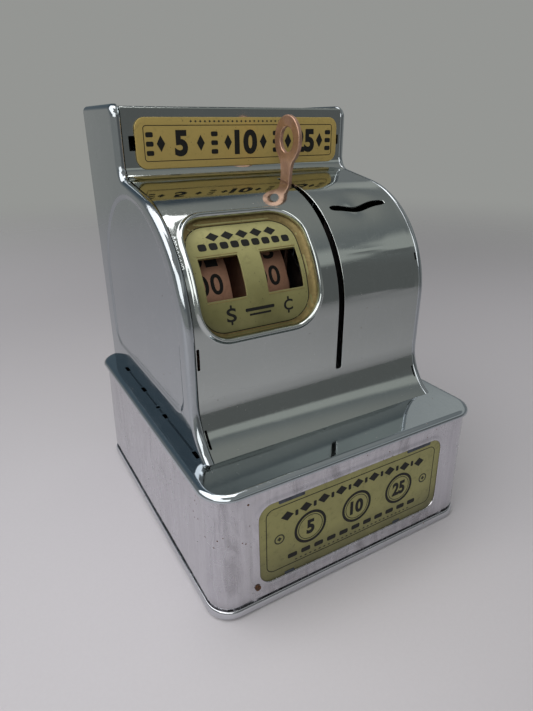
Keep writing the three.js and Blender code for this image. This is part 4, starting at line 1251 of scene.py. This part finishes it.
DRUM_STEPS, DRUM_FIRST = 20, 26
for drum, (x0, x1) in DRUMS.items():
    radius, rim, hub, bore = DRUM["radius"], DRUM["rim"], DRUM["hub"], DRUM["bore"]
    web = x1 - SHEET if drum == "dollars" else x0
    lip = [(radius - 0.15, x0), (radius, x0 + 0.15), (radius, x1 - 0.15), (radius - 0.15, x1)]
    if drum == "dollars":
        profile = [(bore, x0), (hub, x0), (hub, web), (radius - rim, web), (radius - rim, x0)] + lip
        profile += [(bore, x1)]
    else:
        profile = [(bore, x0)] + lip + [(radius - rim, x1), (radius - rim, web + SHEET), (hub, web + SHEET),
                                        (hub, x1), (bore, x1)]
    name = f"{drum}_number_wheel"
    mesh = mesh_from(name, *lathe(profile, 96))
    mesh.set_sharp_from_angle(angle=math.radians(SHARP))
    soften(finish_piece(mesh, name, DRUM_COPPER, f"{drum}_wheel", [f"{drum}_drum"]))
    numbers = Print(drumlike(radius))
    units, tens = (-32.5, -37.7) if drum == "dollars" else (-10.05, -15.25)
    for k in range(DRUM_STEPS):
        value = k if drum == "dollars" else 5 * k
        height = math.radians(DRUM_FIRST + 360 / DRUM_STEPS * k) * radius
        for digit, u in ((value % 10, units), (value // 10, tens)):
            numbers.figures(str(digit), u, height, 7.2, 4.5, 0.02)
    numbers.build(f"{drum}_numbers", INK, "copper", f"{drum}_wheel")

lever_x = LEVER["x"][1]
lever_thick = lever_x - LEVER["x"][0]
tilt = math.radians(LEVER["lean"])
lever_plane = plane(Vector((lever_x, ARCH["y"], ARCH["z"])), Vector((0, math.cos(tilt), math.sin(tilt))),
                    Vector((0, -math.sin(tilt), math.cos(tilt))))
round_edge = 0.32
lever_outline = (arc(0, 0, LEVER["hub"], 119, 421, 40)
                 + LEVER_NECK + arc(0, LEVER["at"], LEVER["ring"], -54, 234, 56)
                 + [(-u, v) for u, v in reversed(LEVER_NECK)])
turns = [math.radians(a) for a in (25, 50, 75, 90)]
both_edges = [(round_edge * math.sin(t), round_edge * (1 - math.cos(t))) for t in turns]
both_edges += [(away, lever_thick - down) for away, down in reversed(both_edges)]
ring_hole = arc(0, LEVER["at"], LEVER["hole"] + round_edge, 0, 351, 39)
hub_hole = arc(0, 0, DRUM["bore"] + round_edge, 0, 345, 23)


def lever_relief(u, v):
    return 0.05 * noise.noise(Vector((u / 6, v / 9, 4.4)))


Sheet(lever_plane, (grown(densify(lever_outline, 2), -round_edge), both_edges),
      [(ring_hole, both_edges), (hub_hole, both_edges)], (2, 2), lever_thick, lever_relief).build(
          "pull_lever_arm", LEVER_COPPER, "copper", "pull_lever", ["lever"])

# ---- CAD pieces whose shape stays ----

CARRIED = {
    STEEL: ["trap_door", "door_latch", "latch_bracket", "latch_pin", "left_frame", "centre_frame",
            "right_frame", "front_spacer", "rear_spacer", "top_spacer", "main_shaft", "left_sleeve",
            "right_sleeve", "dollars_ratchet", "dollars_click_pin", "cents_ratchet", "cents_click_pin",
            "carry_pin", "lever_sleeve", "drive_arm", "drive_pawl_pin", "lever_spring", "coin_chute",
            "feeler_pin", "bell_post", "hammer_pin", "frame_screw_1", "frame_screw_2", "frame_screw_3",
            "frame_screw_4"],
    BLUED: ["dollars_click", "cents_click", "carry_lever", "drive_pawl", "coin_feeler"],
    BRASS: ["bell", "bell_hammer"],
    RUST: ["door_hinge_pin"],
}
CARRIED_SHARP, CARRIED_BEVEL = 32, 0.1
for look, names in CARRIED.items():
    for name in names:
        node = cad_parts[name]
        node.data.materials.clear()
        node.data.materials.append(look)
        node.data.shade_smooth()
        node.data.set_sharp_from_angle(angle=math.radians(CARRIED_SHARP))
        soften(node, 0 if name == "lever_spring" else CARRIED_BEVEL)

# ---- floor, light and camera ----


def floor():
    """Round pale paper under the foot that fades out into the backdrop and darkens away from the light."""
    rings, around, below = [0.0, 0.1, 0.25, 0.5, 0.9, 1.5, 2.4], 60, -0.2 * MM
    verts = [(0, 0, below)]
    for r in rings[1:]:
        verts += [(x, y, below) for x, y in arc(0, 0, r, 0, 360 - 360 / around, around - 1)]
    faces = [(0, 1 + i, 1 + (i + 1) % around) for i in range(around)]
    for k in range(len(rings) - 2):
        a, b = 1 + around * k, 1 + around * (k + 1)
        faces += [(a + i, b + i, b + (i + 1) % around, a + (i + 1) % around) for i in range(around)]
    mesh = bpy.data.meshes.new("paper")
    mesh.from_pydata(verts, [], faces)
    paint = Paint("paper")
    away = paint.node("ShaderNodeVectorMath", operation="LENGTH")
    paint.plug(away.inputs[0], paint.place)
    solid = paint.span(away.outputs["Value"], 0.30, 1.1, 1, 0)
    grain = paint.noise(1.2, 3, 0.6)
    colour = paint.mix(grain, (0.60, 0.578, 0.60), (0.63, 0.608, 0.63))
    dimmer = paint.span(paint.axis(1), -0.12, 0.35, 1, 0.66)
    for axis, low, high, start, end in ((0, -0.12, 0.25, 1, 0.84), (1, -0.22, -0.07, 0.80, 1)):
        dimmer = paint.times(dimmer, paint.span(paint.axis(axis), low, high, start, end))
    colour = paint.mix(1.0, colour, dimmer, "MULTIPLY")
    paint.bumps((grain, 0.02))
    mesh.materials.append(paint.finish(colour, 0.8, 0.0, Alpha=solid))
    sheet = bpy.data.objects.new("paper", mesh)
    bpy.context.scene.collection.objects.link(sheet)


def towards(azimuth, elevation):
    """Direction in degrees: azimuth from +Y round by +X, elevation above the floor."""
    az, el = math.radians(azimuth), math.radians(elevation)
    return Vector((math.sin(az) * math.cos(el), math.cos(az) * math.cos(el), math.sin(el)))


def sky():
    """The camera sees a plain grey backdrop. Reflections and light see a grey room that is darker at
    middle heights, with three dark patches and a soft light band on the right."""
    world = bpy.data.worlds.new("room")
    bpy.context.scene.world = world
    room = Nodes(world)
    background = room.tree.nodes["Background"]
    way = room.node("ShaderNodeTexCoord").outputs["Generated"]
    split = room.node("ShaderNodeSeparateXYZ")
    room.plug(split.inputs[0], way)
    upward = split.outputs[2]

    def window(low, high, soft_low, soft_high):
        """1 where the direction's height is between low and high, fading out below and above."""
        rise = room.span(upward, low - soft_low, low)
        return room.times(rise, room.span(upward, high, high + soft_high, 1, 0))

    def lobe(azimuth, elevation, inner, outer):
        """1 within inner degrees of a direction, 0 beyond outer."""
        dot = room.node("ShaderNodeVectorMath", operation="DOT_PRODUCT")
        room.plug(dot.inputs[0], way)
        dot.inputs[1].default_value = towards(azimuth, elevation)
        return room.span(dot.outputs["Value"], math.cos(math.radians(outer)), math.cos(math.radians(inner)))

    colour = room.mix(window(0.20, 0.62, 0.16, 0.25), (0.285, 0.292, 0.28), (0.185, 0.20, 0.205))
    for patch, tone in (((0, 34, 12, 34), (0.078, 0.108, 0.13)), ((27, 40, 5, 13), (0.060, 0.076, 0.092)),
                        ((152, 4, 16, 38), (0.13, 0.135, 0.135))):
        colour = room.mix(lobe(*patch), colour, tone)
    band = room.times(window(0.46, 0.56, 0.07, 0.08), lobe(115, 20, 55, 78))
    colour = room.mix(band, colour, (0.40, 0.415, 0.40))
    seen = room.node("ShaderNodeLightPath").outputs["Is Camera Ray"]
    room.plug(background.inputs["Color"], room.mix(seen, colour, (0.298, 0.304, 0.292)))
    background.inputs["Strength"].default_value = 1.0


AIM = Vector((0, 0, 0.08))


def softbox(name, azimuth, elevation, distance, size, power, tone):
    """A rectangular light that faces the middle of the object."""
    way = towards(azimuth, elevation)
    data = bpy.data.lights.new(name, "AREA")
    data.shape = "RECTANGLE"
    data.size, data.size_y = size
    data.energy, data.color = power, tone
    light = bpy.data.objects.new(name, data)
    light.location = AIM + way * distance
    light.rotation_euler = way.to_track_quat("Z", "Y").to_euler()
    bpy.context.scene.collection.objects.link(light)


CAMERA = {"place": (-103.4, -175.7, 152.2), "yaw": 30.12, "pitch": 23.95, "roll": 0.24, "lens": 26.5013}


def camera():
    data = bpy.data.cameras.new("camera")
    data.sensor_fit = "AUTO"
    data.sensor_width = 36
    data.lens = CAMERA["lens"]
    data.clip_start = 0.01
    yaw = math.radians(CAMERA["yaw"])
    forward = towards(CAMERA["yaw"], -CAMERA["pitch"])
    right = Vector((math.cos(yaw), -math.sin(yaw), 0))
    up = right.cross(forward)
    turned = Matrix.Rotation(math.radians(CAMERA["roll"]), 3, forward)
    axes = Matrix((turned @ right, turned @ up, turned @ -forward)).transposed()
    eye = bpy.data.objects.new("camera", data)
    eye.matrix_world = Matrix.Translation(Vector(CAMERA["place"]) * MM) @ axes.to_4x4()
    bpy.context.scene.collection.objects.link(eye)
    bpy.context.scene.camera = eye


floor()
sky()
softbox("window_light", -75, 52, 1.5, (1.7, 1.3), 13, (1.0, 0.985, 1.0))
softbox("top_light", 20, 82, 1.4, (0.7, 0.7), 4.0, (1.0, 0.98, 0.98))
softbox("front_light", -138, 30, 1.2, (1.1, 0.7), 4.2, (1.0, 0.99, 0.97))
camera()
bpy.context.scene.view_settings.view_transform = "Standard"
